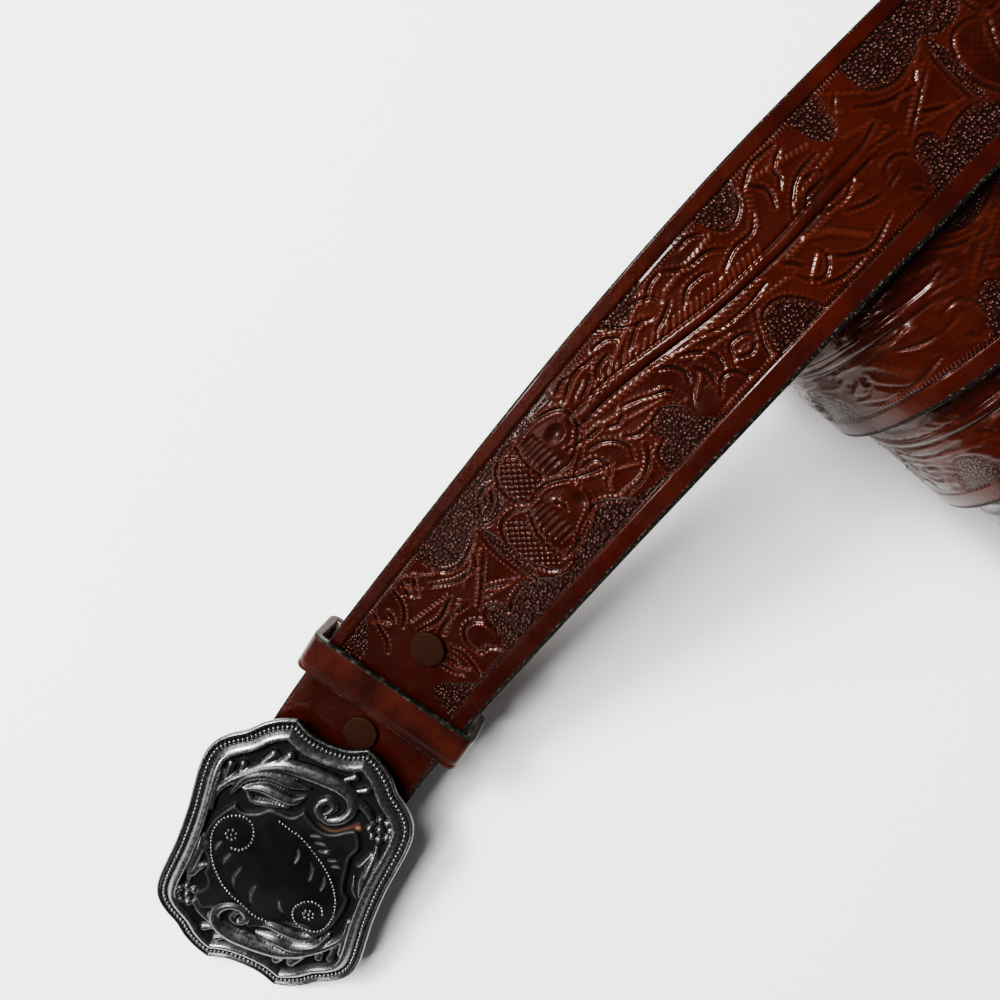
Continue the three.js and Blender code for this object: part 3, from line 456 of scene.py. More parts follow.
def curve(points, count):
    """Smooth curve through the points, with evenly spaced samples."""
    knots = np.array(points, float)
    padded = np.vstack([2 * knots[0] - knots[1], knots, 2 * knots[-1] - knots[-2]])
    pieces = []
    for index in range(len(knots) - 1):
        a, b, c, d = padded[index : index + 4]
        t = np.linspace(0, 1, 12, endpoint=False)[:, None]
        pieces.append(
            0.5 * (2 * b + (c - a) * t + (2 * a - 5 * b + 4 * c - d) * t**2 + (3 * b - a - 3 * c + d) * t**3)
        )
    dense = np.vstack(pieces + [knots[-1:]])
    walked = np.concatenate([[0], np.cumsum(np.linalg.norm(np.diff(dense[:, :2], axis=0), axis=1))])
    places = np.linspace(0, walked[-1], count)
    return np.stack([np.interp(places, walked, dense[:, k]) for k in range(knots.shape[1])], 1)


def line_distance(x, y, line):
    """Distance from each point to a polyline, and the row of the line that it is nearest to."""
    best = np.full(x.shape, 1e9)
    row = np.zeros(x.shape)
    for index in range(len(line) - 1):
        ax, ay = line[index, :2]
        dx, dy = line[index + 1, :2] - line[index, :2]
        share = np.clip(((x - ax) * dx + (y - ay) * dy) / (dx * dx + dy * dy + 1e-12), 0, 1)
        gap = np.hypot(x - ax - share * dx, y - ay - share * dy)
        near = gap < best
        best = np.where(near, gap, best)
        row = np.where(near, index + share, row)
    return best, row


def near_box(x, y, line, margin):
    """Indices of the points within a margin of a line's box."""
    low = line[:, :2].min(0) - margin
    high = line[:, :2].max(0) + margin
    return np.nonzero((x > low[0]) & (x < high[0]) & (y > low[1]) & (y < high[1]))


def directions(slope, heading):
    """Along, side and up of the strap at a slope and a heading in degrees."""
    steep, turn = np.radians(slope), np.radians(heading)
    level = np.zeros_like(steep)
    along = np.stack([np.cos(turn) * np.cos(steep), np.sin(turn) * np.cos(steep), np.sin(steep)], -1)
    side = np.stack([np.sin(turn), -np.cos(turn), level], -1)
    return along, side, np.cross(side, along)


def skin(name, rows, layers, capped=True, apart=False):
    """Object with a skin over rings of points in millimetres; apart gives its caps points of their own."""
    count, width = rows.shape[:2]
    ring = np.arange(count - 1)[:, None] * width
    step = np.arange(width)[None, :]
    after = (step + 1) % width
    beyond = ring + width
    faces = np.stack([ring + step, ring + after, beyond + after, beyond + step], -1).reshape(-1, 4)
    points = rows.reshape(-1, 3) * MM
    corner = points[faces]
    across = np.cross(corner[:, 2] - corner[:, 0], corner[:, 3] - corner[:, 1])
    middle = points.mean(0)
    outward = np.einsum("ij,ij->i", corner.mean(1) - middle, across).sum() > 0
    faces = faces if outward else faces[:, ::-1]
    lists = faces.tolist()
    if capped:
        first = list(range(width))
        last = list(range((count - 1) * width, count * width))
        if apart:
            ends = np.array(first + last)
            first = [count * width + index for index in range(width)]
            last = [index + width for index in first]
            points = np.vstack([points, points[ends]])
            layers = {label: np.concatenate([values, values[ends]]) for label, values in layers.items()}
        lists.append(first[::-1] if outward else first)
        lists.append(last if outward else last[::-1])
    return mesh_object(name, points, lists, layers)


def mesh_object(name, points, faces, layers):
    """Linked object from points in metres and faces, smooth, with vertex layers of floats or vectors."""
    mesh = bpy.data.meshes.new(name)
    mesh.from_pydata(points.tolist(), [], faces)
    mesh.polygons.foreach_set("use_smooth", [len(face) < 5 for face in faces])
    for label, values in layers.items():
        kind, key = ("FLOAT_VECTOR", "vector") if np.ndim(values) == 2 else ("FLOAT", "value")
        layer = mesh.attributes.new(label, kind, "POINT")
        layer.data.foreach_set(key, np.ascontiguousarray(values, dtype=np.float32).ravel())
    mesh.update()
    made = bpy.data.objects.new(name, mesh)
    bpy.context.scene.collection.objects.link(made)
    return made


def finish_piece(piece, body, material, slot, *nodes):
    """Gives a piece its material and its body, and hides the CAD nodes that it stands for."""
    piece.data.materials.clear()
    piece.data.materials.append(material)
    if nodes:
        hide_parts(*nodes)
    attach(piece, body)


def take(*pieces):
    """Selects the pieces alone, with the first one active."""
    bpy.ops.object.select_all(action="DESELECT")
    for piece in pieces:
        piece.select_set(True)
    bpy.context.view_layer.objects.active = pieces[0]


def bevel(piece, width, segments):
    """Rounds the sharp edges of a piece, with a width in millimetres."""
    take(piece)
    change = piece.modifiers.new("bevel", "BEVEL")
    change.width = width * MM
    change.segments = segments
    change.limit_method = "ANGLE"
    bpy.ops.object.modifier_apply(modifier=change.name)


# Course of the strap


def run_course():
    """Frames on the strap's face at each millimetre, in the part's own frame."""
    at = np.linspace(0, 1, RUN_LENGTH + 1)
    along, side, up = directions(table(RUN_COURSE, at, "slope"), table(RUN_COURSE, at, "heading"))
    steps = (along[1:] + along[:-1]) / 2
    origin = np.vstack([np.zeros(3), np.cumsum(steps, 0)])
    origin += np.array([0, 0, ROLL_HEIGHT]) - origin[-1]
    return {"origin": origin, "along": along, "side": side, "up": up}


RUN = run_course()
FOLD_RADIUS = BAR_DIAMETER / 2 + BAR_PLAY + STRAP_THICK / 2
HINGE = frame["joints"][0]
BAR_MIDDLE = np.array(HINGE["pos_m"]) / MM
BAR_AXIS = np.array(HINGE["axis"])
RUN["origin"] += BAR_MIDDLE - (
    RUN["origin"][0]
    - BAR_SLIDE * RUN["side"][0]
    - (STRAP_THICK / 2 + FOLD_RADIUS) * RUN["up"][0]
    + BAR_INSIDE_FOLD * RUN["along"][0]
)


def on_run(places):
    """Origins, alongs, sides and ups at distances from the fold."""
    grid = np.arange(RUN_LENGTH + 1)
    return [
        np.stack([np.interp(places, grid, RUN[key][:, k]) for k in range(3)], -1)
        for key in ("origin", "along", "side", "up")
    ]


def layer_spacing(places):
    """Distance between the middles of the two layers of the fold."""
    closed = smooth(LOOP_STRAIGHT, LOOP_CLOSED, places)
    return 2 * FOLD_RADIUS + closed * (STRAP_THICK + LAYER_GAP - 2 * FOLD_RADIUS)


def stations_on_run(places):
    """Stations at the middle of the leather: origin, side, up, distance and half width."""
    origin, _, side, up = on_run(places)
    half = np.full(len(places), STRAP_WIDTH / 2)
    return [origin - up * STRAP_THICK / 2, side, up, places, half, half + FAR_FROM_TIP]


def stations_on_fold():
    """Stations from the free end under the strap, round the bar, to the run's first frame."""
    places = np.arange(FOLD_BACK, -0.1, -float(FOLD_STEP))
    origin, along, side, up = on_run(places)
    drop = (STRAP_THICK / 2 + layer_spacing(places))[:, None]
    back = [origin - up * drop, side, -up, -places - math.pi * FOLD_RADIUS]
    angle = math.pi * (1 - np.arange(1, FOLD_BEND_STEPS) / FOLD_BEND_STEPS)[:, None]
    out = up[-1] * np.cos(angle) - along[-1] * np.sin(angle)
    centre = origin[-1] - up[-1] * (STRAP_THICK / 2 + FOLD_RADIUS)
    turned = -angle[:, 0] * FOLD_RADIUS
    bend = [centre + out * FOLD_RADIUS, np.repeat(side[-1:], len(angle), 0), out, turned]
    joined = [np.concatenate([a, b]) for a, b in zip(back, bend)]
    half = np.full(len(joined[3]), STRAP_WIDTH / 2)
    return joined + [half, half + FAR_FROM_TIP]


def stations_on_roll():
    """Stations of the roll's turns, with the distance of each from the tip."""
    radius = (ROLL_HEIGHT - STRAP_THICK) / 2
    shrink = (STRAP_THICK + TURN_CLEARANCE) / 2
    lengths, turns = [], []
    for bend in range(ROLL_BENDS):
        flat = ROLL_FIRST_FLAT if bend == 0 else ROLL_FLAT
        count = round(flat / ROLL_STEP)
        lengths += [flat / count] * count
        turns += [0.0] * count
        arc = math.pi * (radius - bend * shrink)
        count = round(arc / ROLL_STEP)
        lengths += [arc / count] * count
        turns += [math.pi / count] * count
    lengths, turns = np.array(lengths), np.array(turns)
    walked = np.cumsum(lengths)
    total = walked[-1]
    lead = np.radians(table(ROLL_LEADS, (walked - lengths) / total, "lead"))
    heading = RUN_COURSE["heading"][-1] + ROLL_LEADS["lead"][0]
    forward, axis, upward = directions(np.array([0.0]), np.array([heading]))
    turned = np.cumsum(turns)
    middle = turned - turns / 2
    chord = np.where(turns > 0, np.sin(turns / 2) / np.maximum(turns / 2, 1e-9), 1)
    move = (lengths * chord)[:, None]
    steps = np.cos(middle)[:, None] * move * forward - np.sin(middle)[:, None] * move * upward
    steps = steps + (np.tan(lead) * lengths)[:, None] * axis
    start = RUN["origin"][-1] - RUN["up"][-1] * STRAP_THICK / 2
    origin = start + np.cumsum(steps, 0)
    round_ = np.cos(turned)[:, None] * forward - np.sin(turned)[:, None] * upward
    up = np.sin(turned)[:, None] * forward + np.cos(turned)[:, None] * upward
    side = np.cos(lead)[:, None] * axis - np.sin(lead)[:, None] * round_
    to_tip = (total - walked) / np.cos(lead)
    share = np.clip(1 - to_tip / TIP_LENGTH, 0, 1)
    half = STRAP_WIDTH / 2 * np.maximum(TIP_LEAST_SHARE, np.sqrt(1 - share * share))
    return [origin, side, up, RUN_LENGTH + walked, half, to_tip]


# Tooled pattern


def tooling(along, across):
    """Height in millimetres, and the shares of stippled ground, dark cut, and worn crest that also carries a
    painted highlight.
    """
    ground = np.maximum(
        np.interp(along, *zip(*UPPER_GROUND)) - across, across - np.interp(along, *zip(*LOWER_GROUND))
    )
    ground = smooth(-0.25, 0.3, ground)
    for s, a, rs, ra in GROUND_OVALS:
        q = np.hypot((along - s) / rs, (across - a) / ra)
        ground = np.maximum(ground, smooth(-0.3, 0.3, (1 - q) * 2))
    inside = smooth(-0.2, 0.25, np.minimum(across - BORDER_UPPER, BORDER_LOWER - across))
    ground *= inside
    height = np.zeros_like(along)
    cut = np.zeros_like(along)
    worn_highlight = np.zeros_like(along)
    for name, (s, a, rs, ra, lift) in DOMES.items():
        q = np.hypot((along - s) / rs, (across - a) / ra)
        within = smooth(1.04, 0.96, q)
        ground *= 1 - within
        height += lift * np.sqrt(np.clip(1 - q * q, 0, 1))
        if name in CUPS:
            mesh = np.minimum(
                np.abs((along + across) / MESH_PITCH % 1 - 0.5),
                np.abs((along - across) / MESH_PITCH % 1 - 0.5),
            )
            lines = smooth(0.2, 0.05, mesh) * within
            height -= MESH_DEPTH * lines
            cut = np.maximum(cut, 0.6 * lines)
    for s, a, rs, ra, sink in HOLLOWS.values():
        q = np.clip(np.hypot((along - s) / rs, (across - a) / ra), 0, 1)
        height -= sink * (1 - q * q)
        cut = np.maximum(cut, 0.8 * (1 - q * q))
    height -= GROUND_DEPTH * ground
    for points in CUTS.values():
        line = curve(points, 6 * len(points))
        near = near_box(along, across, line, 2)
        gap, row = line_distance(along[near], across[near], line)
        ends = np.minimum(row, len(line) - 1 - row) / len(line)
        depth = 0.45 + 0.55 * smooth(0, 0.25, ends)
        groove = np.exp(-((gap / CUT_HALF) ** 2)) * depth
        walked = row * np.linalg.norm(line[1] - line[0])
        comb = (0.6 + 0.4 * np.cos(2 * math.pi * walked / RIDGE_PITCH)) * depth
        height[near] += RIDGE_LIFT * comb * np.exp(-(((gap - RIDGE_OFFSET) / 0.4) ** 2)) - CUT_DEPTH * groove
        cut[near] = np.maximum(cut[near], np.maximum(groove, 0.4 * depth * np.exp(-((gap / 1.5) ** 2))))
        # Dotted ridge beside each cut, painted lighter: partly worn burnish, partly a painted highlight of
        # the bevel marks.
        worn_highlight[near] = np.maximum(worn_highlight[near], comb * np.exp(-(((gap - RIDGE_OFFSET) / 0.3) ** 2)))
    stem = curve(STEM, 60)
    near = near_box(along, across, stem, 3)
    gap, row = line_distance(along[near], across[near], stem)
    half = STEM_HALF * (0.75 + 0.25 * np.abs(np.linspace(-1, 1, len(stem)))[row.astype(int)])
    height[near] += STEM_LIFT * np.sqrt(np.clip(1 - (gap / half) ** 2, 0, 1))
    edge = np.exp(-(((gap - half - 0.2) / 0.35) ** 2))
    height[near] -= GROUND_DEPTH * edge
    cut[near] = np.maximum(cut[near], 0.9 * edge)
    ground[near] *= smooth(half, half + 0.3, gap)
    for start, end, count, reach in RIBS.values():
        start, end, reach = np.array(start), np.array(end), np.array(reach)
        for share in np.linspace(0, 1, count):
            foot = start + (end - start) * share
            rib = np.stack([foot - reach / 2, foot + reach / 2])
            near = near_box(along, across, rib, 1.2)
            gap, _ = line_distance(along[near], across[near], rib)
            crest = np.exp(-((gap / RIB_HALF) ** 2))
            height[near] += RIB_LIFT * crest
            # Rib crests painted lighter: partly worn, partly a painted highlight.
            worn_highlight[near] = np.maximum(worn_highlight[near], crest)
            dark = np.exp(-(((gap - 0.75) / 0.3) ** 2))
            cut[near] = np.maximum(cut[near], 0.45 * dark)
    for start, end, lanes in STRIPES.values():
        for lane in lanes:
            bow = 0.5 * ((along - start) / (end - start)) ** 2
            over = smooth(start - 0.6, start + 0.4, along) * smooth(end + 0.6, end - 0.8, along)
            groove = np.exp(-(((across - lane - bow) / 0.32) ** 2)) * over
            height -= STRIPE_DEPTH * groove
            cut = np.maximum(cut, 0.7 * groove)
    return height, ground, cut, worn_highlight


def strap_surface(stations, columns, tooled):
    """Rings of points and vertex layers of a length of strap."""
    origin, side, up, places, half, to_tip = stations
    edge = STRAP_EDGE
    thick = STRAP_THICK / 2
    spread = np.linspace(-1, 1, columns)
    corner = np.radians(np.array([67, 45, 22]))
    arc_out, arc_up = edge * np.cos(corner), edge * np.sin(corner)
    low = np.linspace(1, -1, 7)
    flat = np.concatenate([spread, [1] * 3, [1, 1], [1] * 3, low, [-1] * 3, [-1, -1], [-1] * 3])
    out = np.concatenate([0 * spread, arc_out, [edge, edge], arc_out[::-1], 0 * low, -arc_out, [-edge, -edge],
                          -arc_out[::-1]])
    rise = np.concatenate([0 * spread + thick, thick - edge + arc_up, [thick - edge, edge - thick],
                           edge - thick - arc_up[::-1], 0 * low - thick, edge - thick - arc_up,
                           [edge - thick, thick - edge], thick - edge + arc_up[::-1]])
    top = np.concatenate([0 * spread + 1, np.zeros(len(flat) - columns)])
    across = flat[None, :] * (half[:, None] - edge) + out[None, :]
    height = np.repeat(rise[None, :], len(places), 0)
    along = np.repeat(places[:, None], len(flat), 1)
    ground = np.zeros_like(across)
    cut = np.zeros_like(across)
    worn_highlight = np.zeros_like(across)
    if tooled:
        past = (places - RUN_LENGTH) % PATTERN_REPEAT
        wrapped = np.where(places > RUN_LENGTH, RUN_LENGTH - PATTERN_REPEAT + past, places)
        face = across[:, :columns]
        values = np.array(tooling(np.repeat(wrapped[:, None], columns, 1), face))
        joint = np.nonzero((places > RUN_LENGTH) & (past < PATTERN_BLEND))[0]
        if len(joint):
            before = tooling(np.repeat(RUN_LENGTH - past[joint, None], columns, 1), face[joint])
            share = smooth(0, PATTERN_BLEND, past[joint])[:, None]
            values[:, joint] = before + (values[:, joint] - before) * share
        lift, ground_top, cut_top, worn_highlight_top = values
        fade = smooth(TIP_LENGTH, TIP_LENGTH + TIP_FADE, to_tip)[:, None]
        height[:, :columns] += lift * fade
        ground[:, :columns] = ground_top * fade
        cut[:, :columns] = cut_top * fade
        worn_highlight[:, :columns] = worn_highlight_top * fade
        for line in (BORDER_UPPER, BORDER_LOWER):
            groove = np.exp(-(((across[:, :columns] - line) / 0.3) ** 2))
            height[:, :columns] -= BORDER_DEPTH * groove * fade
            cut[:, :columns] = np.maximum(cut[:, :columns], groove * fade)
    reach = half[:, None] - np.abs(across)
    band = np.where(across > 0, INKED_EDGE_LOWER, INKED_EDGE_UPPER)
    dark = np.where(top[None, :] > 0, smooth(band, band - 0.5, reach), 1.0)
    under = np.abs(rise[None, :] + thick) < 0.01
    dark = np.where(under, 0.0, dark)
    flesh = np.repeat(np.where(under, 1.0, 0.0), len(places), 0)
    points = origin[:, None, :] + side[:, None, :] * across[..., None] + up[:, None, :] * height[..., None]
    # Raised tooling under the roll is pressed flat on the floor.
    points[..., 2] = np.maximum(points[..., 2], 0)
    layers = {
        "belt": np.stack([along, across, 0 * along], -1).reshape(-1, 3),
        "ground": ground.ravel(),
        "cut": cut.ravel(),
        "worn_highlight": worn_highlight.ravel(),
        "edge": dark.ravel(),
        "flesh": flesh.ravel(),
    }
    return points, layers


# Materials

LEATHER_SHINE = (1, 0.5, 0.38, 1)


class Shader:
    """Short way to add and join nodes of one material."""

    def __init__(self, name):
        self.material = bpy.data.materials.new(name)
        self.material.use_nodes = True
        self.tree = self.material.node_tree
        self.tree.nodes.clear()

    def add(self, kind, inputs=None, **values):
        node = self.tree.nodes.new(kind)
        for key, value in values.items():
            setattr(node, key, value)
        for key, value in (inputs or {}).items():
            if isinstance(value, bpy.types.NodeSocket):
                self.tree.links.new(value, node.inputs[key])
            else:
                node.inputs[key].default_value = value
        return node

    def layer(self, name):
        return self.add("ShaderNodeAttribute", attribute_name=name)

    def value(self, name):
        return self.layer(name).outputs["Fac"]

    def math(self, operation, first, second=0.0, third=0.0):
        return self.add("ShaderNodeMath", {0: first, 1: second, 2: third}, operation=operation).outputs[0]

    def ramp(self, value, low, high, first=0.0, last=1.0):
        inputs = {0: value, 1: low, 2: high, 3: first, 4: last}
        return self.add("ShaderNodeMapRange", inputs, interpolation_type="SMOOTHSTEP").outputs[0]

    def mix(self, share, first, second):
        node = self.add("ShaderNodeMix", data_type="RGBA")
        for slot, value in ((0, share), (6, first), (7, second)):
            if isinstance(value, bpy.types.NodeSocket):
                self.tree.links.new(value, node.inputs[slot])
            else:
                node.inputs[slot].default_value = value
        return node.outputs[2]

    def noise(self, where, scale, detail=3.0, rough=0.55):
        inputs = {"Vector": where, "Scale": scale, "Detail": detail, "Roughness": rough}
        return self.add("ShaderNodeTexNoise", inputs).outputs["Fac"]

    def cells(self, where, scale, random=1.0, feature="F1", dimensions="3D"):
        inputs = {"Vector": where, "Scale": scale, "Randomness": random}
        return self.add("ShaderNodeTexVoronoi", inputs, feature=feature, voronoi_dimensions=dimensions)

    def bump(self, height, distance, before=None, strength=1.0):
        inputs = {"Height": height, "Distance": distance, "Strength": strength}
        if before is not None:
            inputs["Normal"] = before
        return self.add("ShaderNodeBump", inputs).outputs[0]

    def stretch(self, where, scales):
        return self.add("ShaderNodeVectorMath", {0: where, 1: scales}, operation="MULTIPLY").outputs[0]

    def place(self):
        return self.add("ShaderNodeTexCoord").outputs["Object"]

    def output(self, **inputs):
        shader = self.add("ShaderNodeBsdfPrincipled", {k.replace("_", " "): v for k, v in inputs.items()})
        self.add("ShaderNodeOutputMaterial", {"Surface": shader.outputs[0]})
        return self.material


def strap_leather(look):
    """Glossy tooled leather with stippled grounds, dark cuts, black edges and a bare flesh side."""
    s = Shader("strap_leather")
    where = s.place()
    belt = s.layer("belt").outputs["Vector"]
    split = s.add("ShaderNodeSeparateXYZ", {0: belt})
    along, across = split.outputs[0], split.outputs[1]
    ground, cut, worn_highlight = s.value("ground"), s.value("cut"), s.value("worn_highlight")
    edge, flesh = s.value("edge"), s.value("flesh")
    cloud = s.noise(where, 55, 4, 0.6)
    fine = s.noise(where, 420, 5, 0.65)
    body = s.mix(s.ramp(cloud, 0.36, 0.66), (*look.dark, 1), (*look.warm, 1))
    body = s.mix(s.ramp(along, 60, 200, 0.55, 0.0), body, (*look.deep, 1))
    body = s.mix(s.ramp(fine, 0.55, 0.75, 0.0, 0.5), body, (*look.deep, 1))
    dots = s.cells(belt, 1.0, 0.7, dimensions="2D").outputs["Distance"]
    pearl = s.ramp(dots, 0.5, 0.2)
    sunk = s.mix(pearl, (0.003, 0.0008, 0.0006, 1), (0.013, 0.0025, 0.0015, 1))
    # Painted highlight: pale glints painted on the tops of some pearls of the stippled ground.
    glint = s.math("MULTIPLY", s.ramp(dots, 0.24, 0.05), s.ramp(s.noise(belt, 0.45, 2), 0.4, 0.65))
    sunk = s.mix(glint, sunk, (0.1, 0.055, 0.048, 1))
    body = s.mix(ground, body, sunk)
    body = s.mix(s.math("MULTIPLY", cut, 0.9), body, (0.002, 0.0006, 0.0004, 1))
    # Crests and bevel ridges painted lighter: partly worn burnish, partly painted highlight.
    body = s.mix(s.math("MULTIPLY", worn_highlight, 0.4), body, (0.045, 0.006, 0.0018, 1))
    rubbed = s.ramp(s.noise(belt, 1.3, 4, 0.7), 0.55, 0.68, 0.0, 0.7)
    black = s.mix(rubbed, (0.0015, 0.0015, 0.0013, 1), (0.07, 0.06, 0.05, 1))
    body = s.mix(edge, body, black)
    suede = s.mix(fine, (0.055, 0.026, 0.014, 1), (0.09, 0.048, 0.027, 1))
    body = s.mix(flesh, body, suede)
    near_upper = s.math("ABSOLUTE", s.math("SUBTRACT", across, BORDER_UPPER + 0.65))
    near_lower = s.math("ABSOLUTE", s.math("SUBTRACT", across, BORDER_LOWER - 0.65))
    band = s.ramp(s.math("MINIMUM", near_upper, near_lower), 0.8, 0.4)
    band = s.math("MULTIPLY", band, s.ramp(along, 46, 50))
    comb = s.math("SINE", s.math("MULTIPLY", along, 2 * math.pi / 0.92))
    streak = s.noise(s.stretch(belt, (1.6, 0.35, 0)), 1.0, 4, 0.7)
    grain = s.cells(where, 1150, 1.0).outputs["Distance"]
    normal = s.bump(grain, 0.00005, strength=0.5)
    normal = s.bump(fine, 0.00012, normal, 0.6)
    streak = s.math("MULTIPLY", streak, s.ramp(s.math("ABSOLUTE", across), 16, 19))
    normal = s.bump(streak, 0.00025, normal, 0.5)
    normal = s.bump(s.math("MULTIPLY", pearl, ground), 0.00042, normal)
    hatch = s.math("MULTIPLY", band, s.ramp(ground, 0.6, 0.2))
    normal = s.bump(s.math("MULTIPLY", comb, hatch), 0.00011, normal)
    rough = s.ramp(s.noise(where, 130, 4, 0.6), 0.3, 0.7, 0.2, 0.36)
    rough = s.math("ADD", rough, s.math("MULTIPLY", flesh, 0.5))
    rough = s.math("ADD", rough, s.math("MULTIPLY", edge, 0.25))
    bare = s.math("SUBTRACT", 1.0, s.math("MAXIMUM", edge, flesh))
    return s.output(Base_Color=body, Roughness=rough, Normal=normal, Coat_Roughness=0.1,
                    Coat_Weight=s.math("MULTIPLY", bare, look.gloss), Specular_Tint=LEATHER_SHINE,
                    Specular_IOR_Level=s.ramp(bare, 0, 1, 0.08, 0.2))


def plain_leather(name, look, edge_tint):
    """Smooth dark red leather with fine grain, faint creases and inked edges."""
    s = Shader(name)
    where = s.place()
    edge, crease, flesh = s.value("edge"), s.value("crease"), s.value("flesh")
    cloud = s.noise(where, 70, 4, 0.6)
    fine = s.noise(where, 600, 5, 0.6)
    body = s.mix(s.ramp(cloud, 0.38, 0.62), (*look.deep, 1), (*look.warm, 1))
    body = s.mix(s.ramp(fine, 0.58, 0.78, 0, 0.3), body, (0.02, 0.004, 0.002, 1))
    body = s.mix(s.math("MULTIPLY", crease, 0.75), body, (0.004, 0.001, 0.001, 1))
    inked = s.mix(s.ramp(fine, 0.5, 0.72), (*edge_tint, 1), (0.02, 0.023, 0.016, 1))
    body = s.mix(edge, body, inked)
    body = s.mix(flesh, body, (0.2, 0.13, 0.09, 1))
    grain = s.cells(where, 1300, 1.0).outputs["Distance"]
    scratch = s.stretch(where, (500, 3500, 500))
    normal = s.bump(grain, 0.00004, strength=0.5)
    normal = s.bump(s.noise(scratch, 1, 3), 0.00003, normal, 0.5)
    normal = s.bump(s.math("SUBTRACT", 1.0, crease), 0.0002, normal, 0.6)
    rough = s.ramp(cloud, 0.3, 0.7, 0.3, 0.45)
    return s.output(Base_Color=body, Roughness=rough, Normal=normal, Coat_Weight=0.15, Coat_Roughness=0.18,
                    Specular_IOR_Level=0.2, Specular_Tint=LEATHER_SHINE)


def cast_metal(look):
    """Antiqued cast metal: black recesses, dark middle panel, grey body and bright worn crests."""
    s = Shader("buckle_metal")
    where = s.place()
    deep, crest, copper = s.value("deep"), s.value("crest"), s.value("copper")
    cloud = s.noise(where, 120, 4, 0.6)
    fine = s.noise(where, 900, 4, 0.6)
    body = s.mix(s.ramp(cloud, 0.3, 0.7), (*look.metal_dark, 1), (*look.metal, 1))
    body = s.mix(crest, body, (*look.metal_bright, 1))
    body = s.mix(deep, body, (0.0015, 0.0018, 0.0018, 1))
    body = s.mix(copper, body, (0.2, 0.08, 0.035, 1))
    rough = s.ramp(fine, 0.3, 0.7, 0.26, 0.42)
    rough = s.math("ADD", rough, s.math("MULTIPLY", deep, 0.3))
    rough = s.math("SUBTRACT", rough, s.math("MULTIPLY", crest, 0.1))
    stroke = s.stretch(where, (2600, 300, 600))
    normal = s.bump(fine, 0.00005, strength=0.55)
    normal = s.bump(s.noise(stroke, 1, 2), 0.00002, normal, 0.5)
    return s.output(Base_Color=body, Metallic=s.ramp(deep, 0.85, 1.0, 1.0, 0.0), Roughness=rough,
                    Normal=normal, Specular_IOR_Level=s.ramp(deep, 0.0, 0.3, 0.5, 0.05))


def enamel(look):
    """Half matt brown enamel of the snaps."""
    s = Shader("snap_enamel")
    where = s.place()
    fine = s.noise(where, 700, 4, 0.6)
    body = s.mix(s.ramp(fine, 0.35, 0.7), (*look.cap, 1), tuple(1.35 * c for c in look.cap) + (1,))
    chips = s.ramp(s.noise(where, 320, 5, 0.7), 0.66, 0.72)
    body = s.mix(chips, body, (0.009, 0.005, 0.003, 1))
    normal = s.bump(fine, 0.00004, strength=0.5)
    return s.output(Base_Color=body, Roughness=s.ramp(fine, 0.3, 0.7, 0.5, 0.64), Normal=normal,
                    Specular_IOR_Level=0.1, Specular_Tint=(1, 0.55, 0.4, 1))


def paper(colour):
    """Pale matt floor."""
    s = Shader("floor")
    where = s.place()
    tone = s.ramp(s.noise(where, 3, 3), 0.3, 0.7, 0.97, 1.0)
    body = s.add("ShaderNodeMix", data_type="RGBA", blend_type="MULTIPLY")
    body.inputs[0].default_value = 1
    body.inputs[6].default_value = (*colour, 1)
    s.tree.links.new(s.add("ShaderNodeCombineColor", {0: tone, 1: tone, 2: tone}).outputs[0], body.inputs[7])
    normal = s.bump(s.noise(where, 900, 3), 0.00003, strength=0.3)
    return s.output(Base_Color=body.outputs[2], Roughness=0.9, Normal=normal, Specular_IOR_Level=0.2)


# Buckle plate


def plate_outline():
    """Whole outline in millimetres, counter-clockwise from the middle of the crown."""
    half = np.array([PLATE_LENGTH / 2, PLATE_WIDTH / 2])
    quarter = np.vstack([curve(CROWN, 40)[:-1], curve(FLANK, 130)]) * half
    upper = np.vstack([quarter, (quarter * [-1, 1])[::-1][1:]])
    whole = np.vstack([upper, (upper * [1, -1])[::-1][1:-1]])
    closed = np.vstack([whole, whole[:1]])
    walked = np.concatenate([[0], np.cumsum(np.linalg.norm(np.diff(closed, axis=0), axis=1))])
    places = np.linspace(0, walked[-1], OUTLINE_POINTS, endpoint=False)
    return np.stack([np.interp(places, walked, closed[:, k]) for k in range(2)], 1)


def plate_world(points):
    """Points on the flat plate, bent over its long curve and set in the part's frame."""
    x, y, z = points[..., 0], points[..., 1], points[..., 2]
    angle = x / PLATE_BEND_RADIUS
    radius = PLATE_BEND_RADIUS + z
    bent = np.stack([radius * np.sin(angle), y, radius * np.cos(angle) - PLATE_BEND_RADIUS], -1)
    return bent @ plate_axes() + plate_centre()


def plate_axes():
    """Rows: the plate's own x, y and z directions."""
    tilt = math.radians(PLATE_TILT)
    level = np.array([BAR_AXIS[1], -BAR_AXIS[0], 0])
    along = level * math.cos(tilt) + np.array([0, 0, math.sin(tilt)])
    return np.stack([along, BAR_AXIS, np.cross(along, BAR_AXIS)])


def plate_centre():
    """Middle of the plate in the part's frame."""
    axes = plate_axes()
    return BAR_MIDDLE - axes[0] * BAR_FROM_CENTRE + axes[2] * BAR_DROP


def stem_height(x, y, rows, turned):
    """Height of one raised stem above the plate's zero, and below the field where there is none."""
    way = -1 if turned else 1
    half = np.array([way * PLATE_LENGTH / 2, way * PLATE_WIDTH / 2, 1])
    line = curve([np.array(row) * half for row in rows], 10 * len(rows))
    near = near_box(x, y, line, 3)
    gap, row = line_distance(x[near], y[near], line)
    wide = np.interp(row, np.arange(len(line)), line[:, 2])
    share = np.clip(1 - (gap / wide) ** 2, 0, 1)
    lift = np.where(gap < wide, FIELD_FLOOR + (0.5 + 0.75 * wide) * np.sqrt(share), NOTHING)
    height = np.full(x.shape, NOTHING)
    height[near] = lift
    return height


def panel_level(gap, wall=1.0):
    """Level of the slightly crowned panel at a distance inside its outline."""
    return FIELD_FLOOR + PANEL_RISE * wall + PANEL_CROWN * smooth(0.5, PANEL_CROWN_REACH, gap)


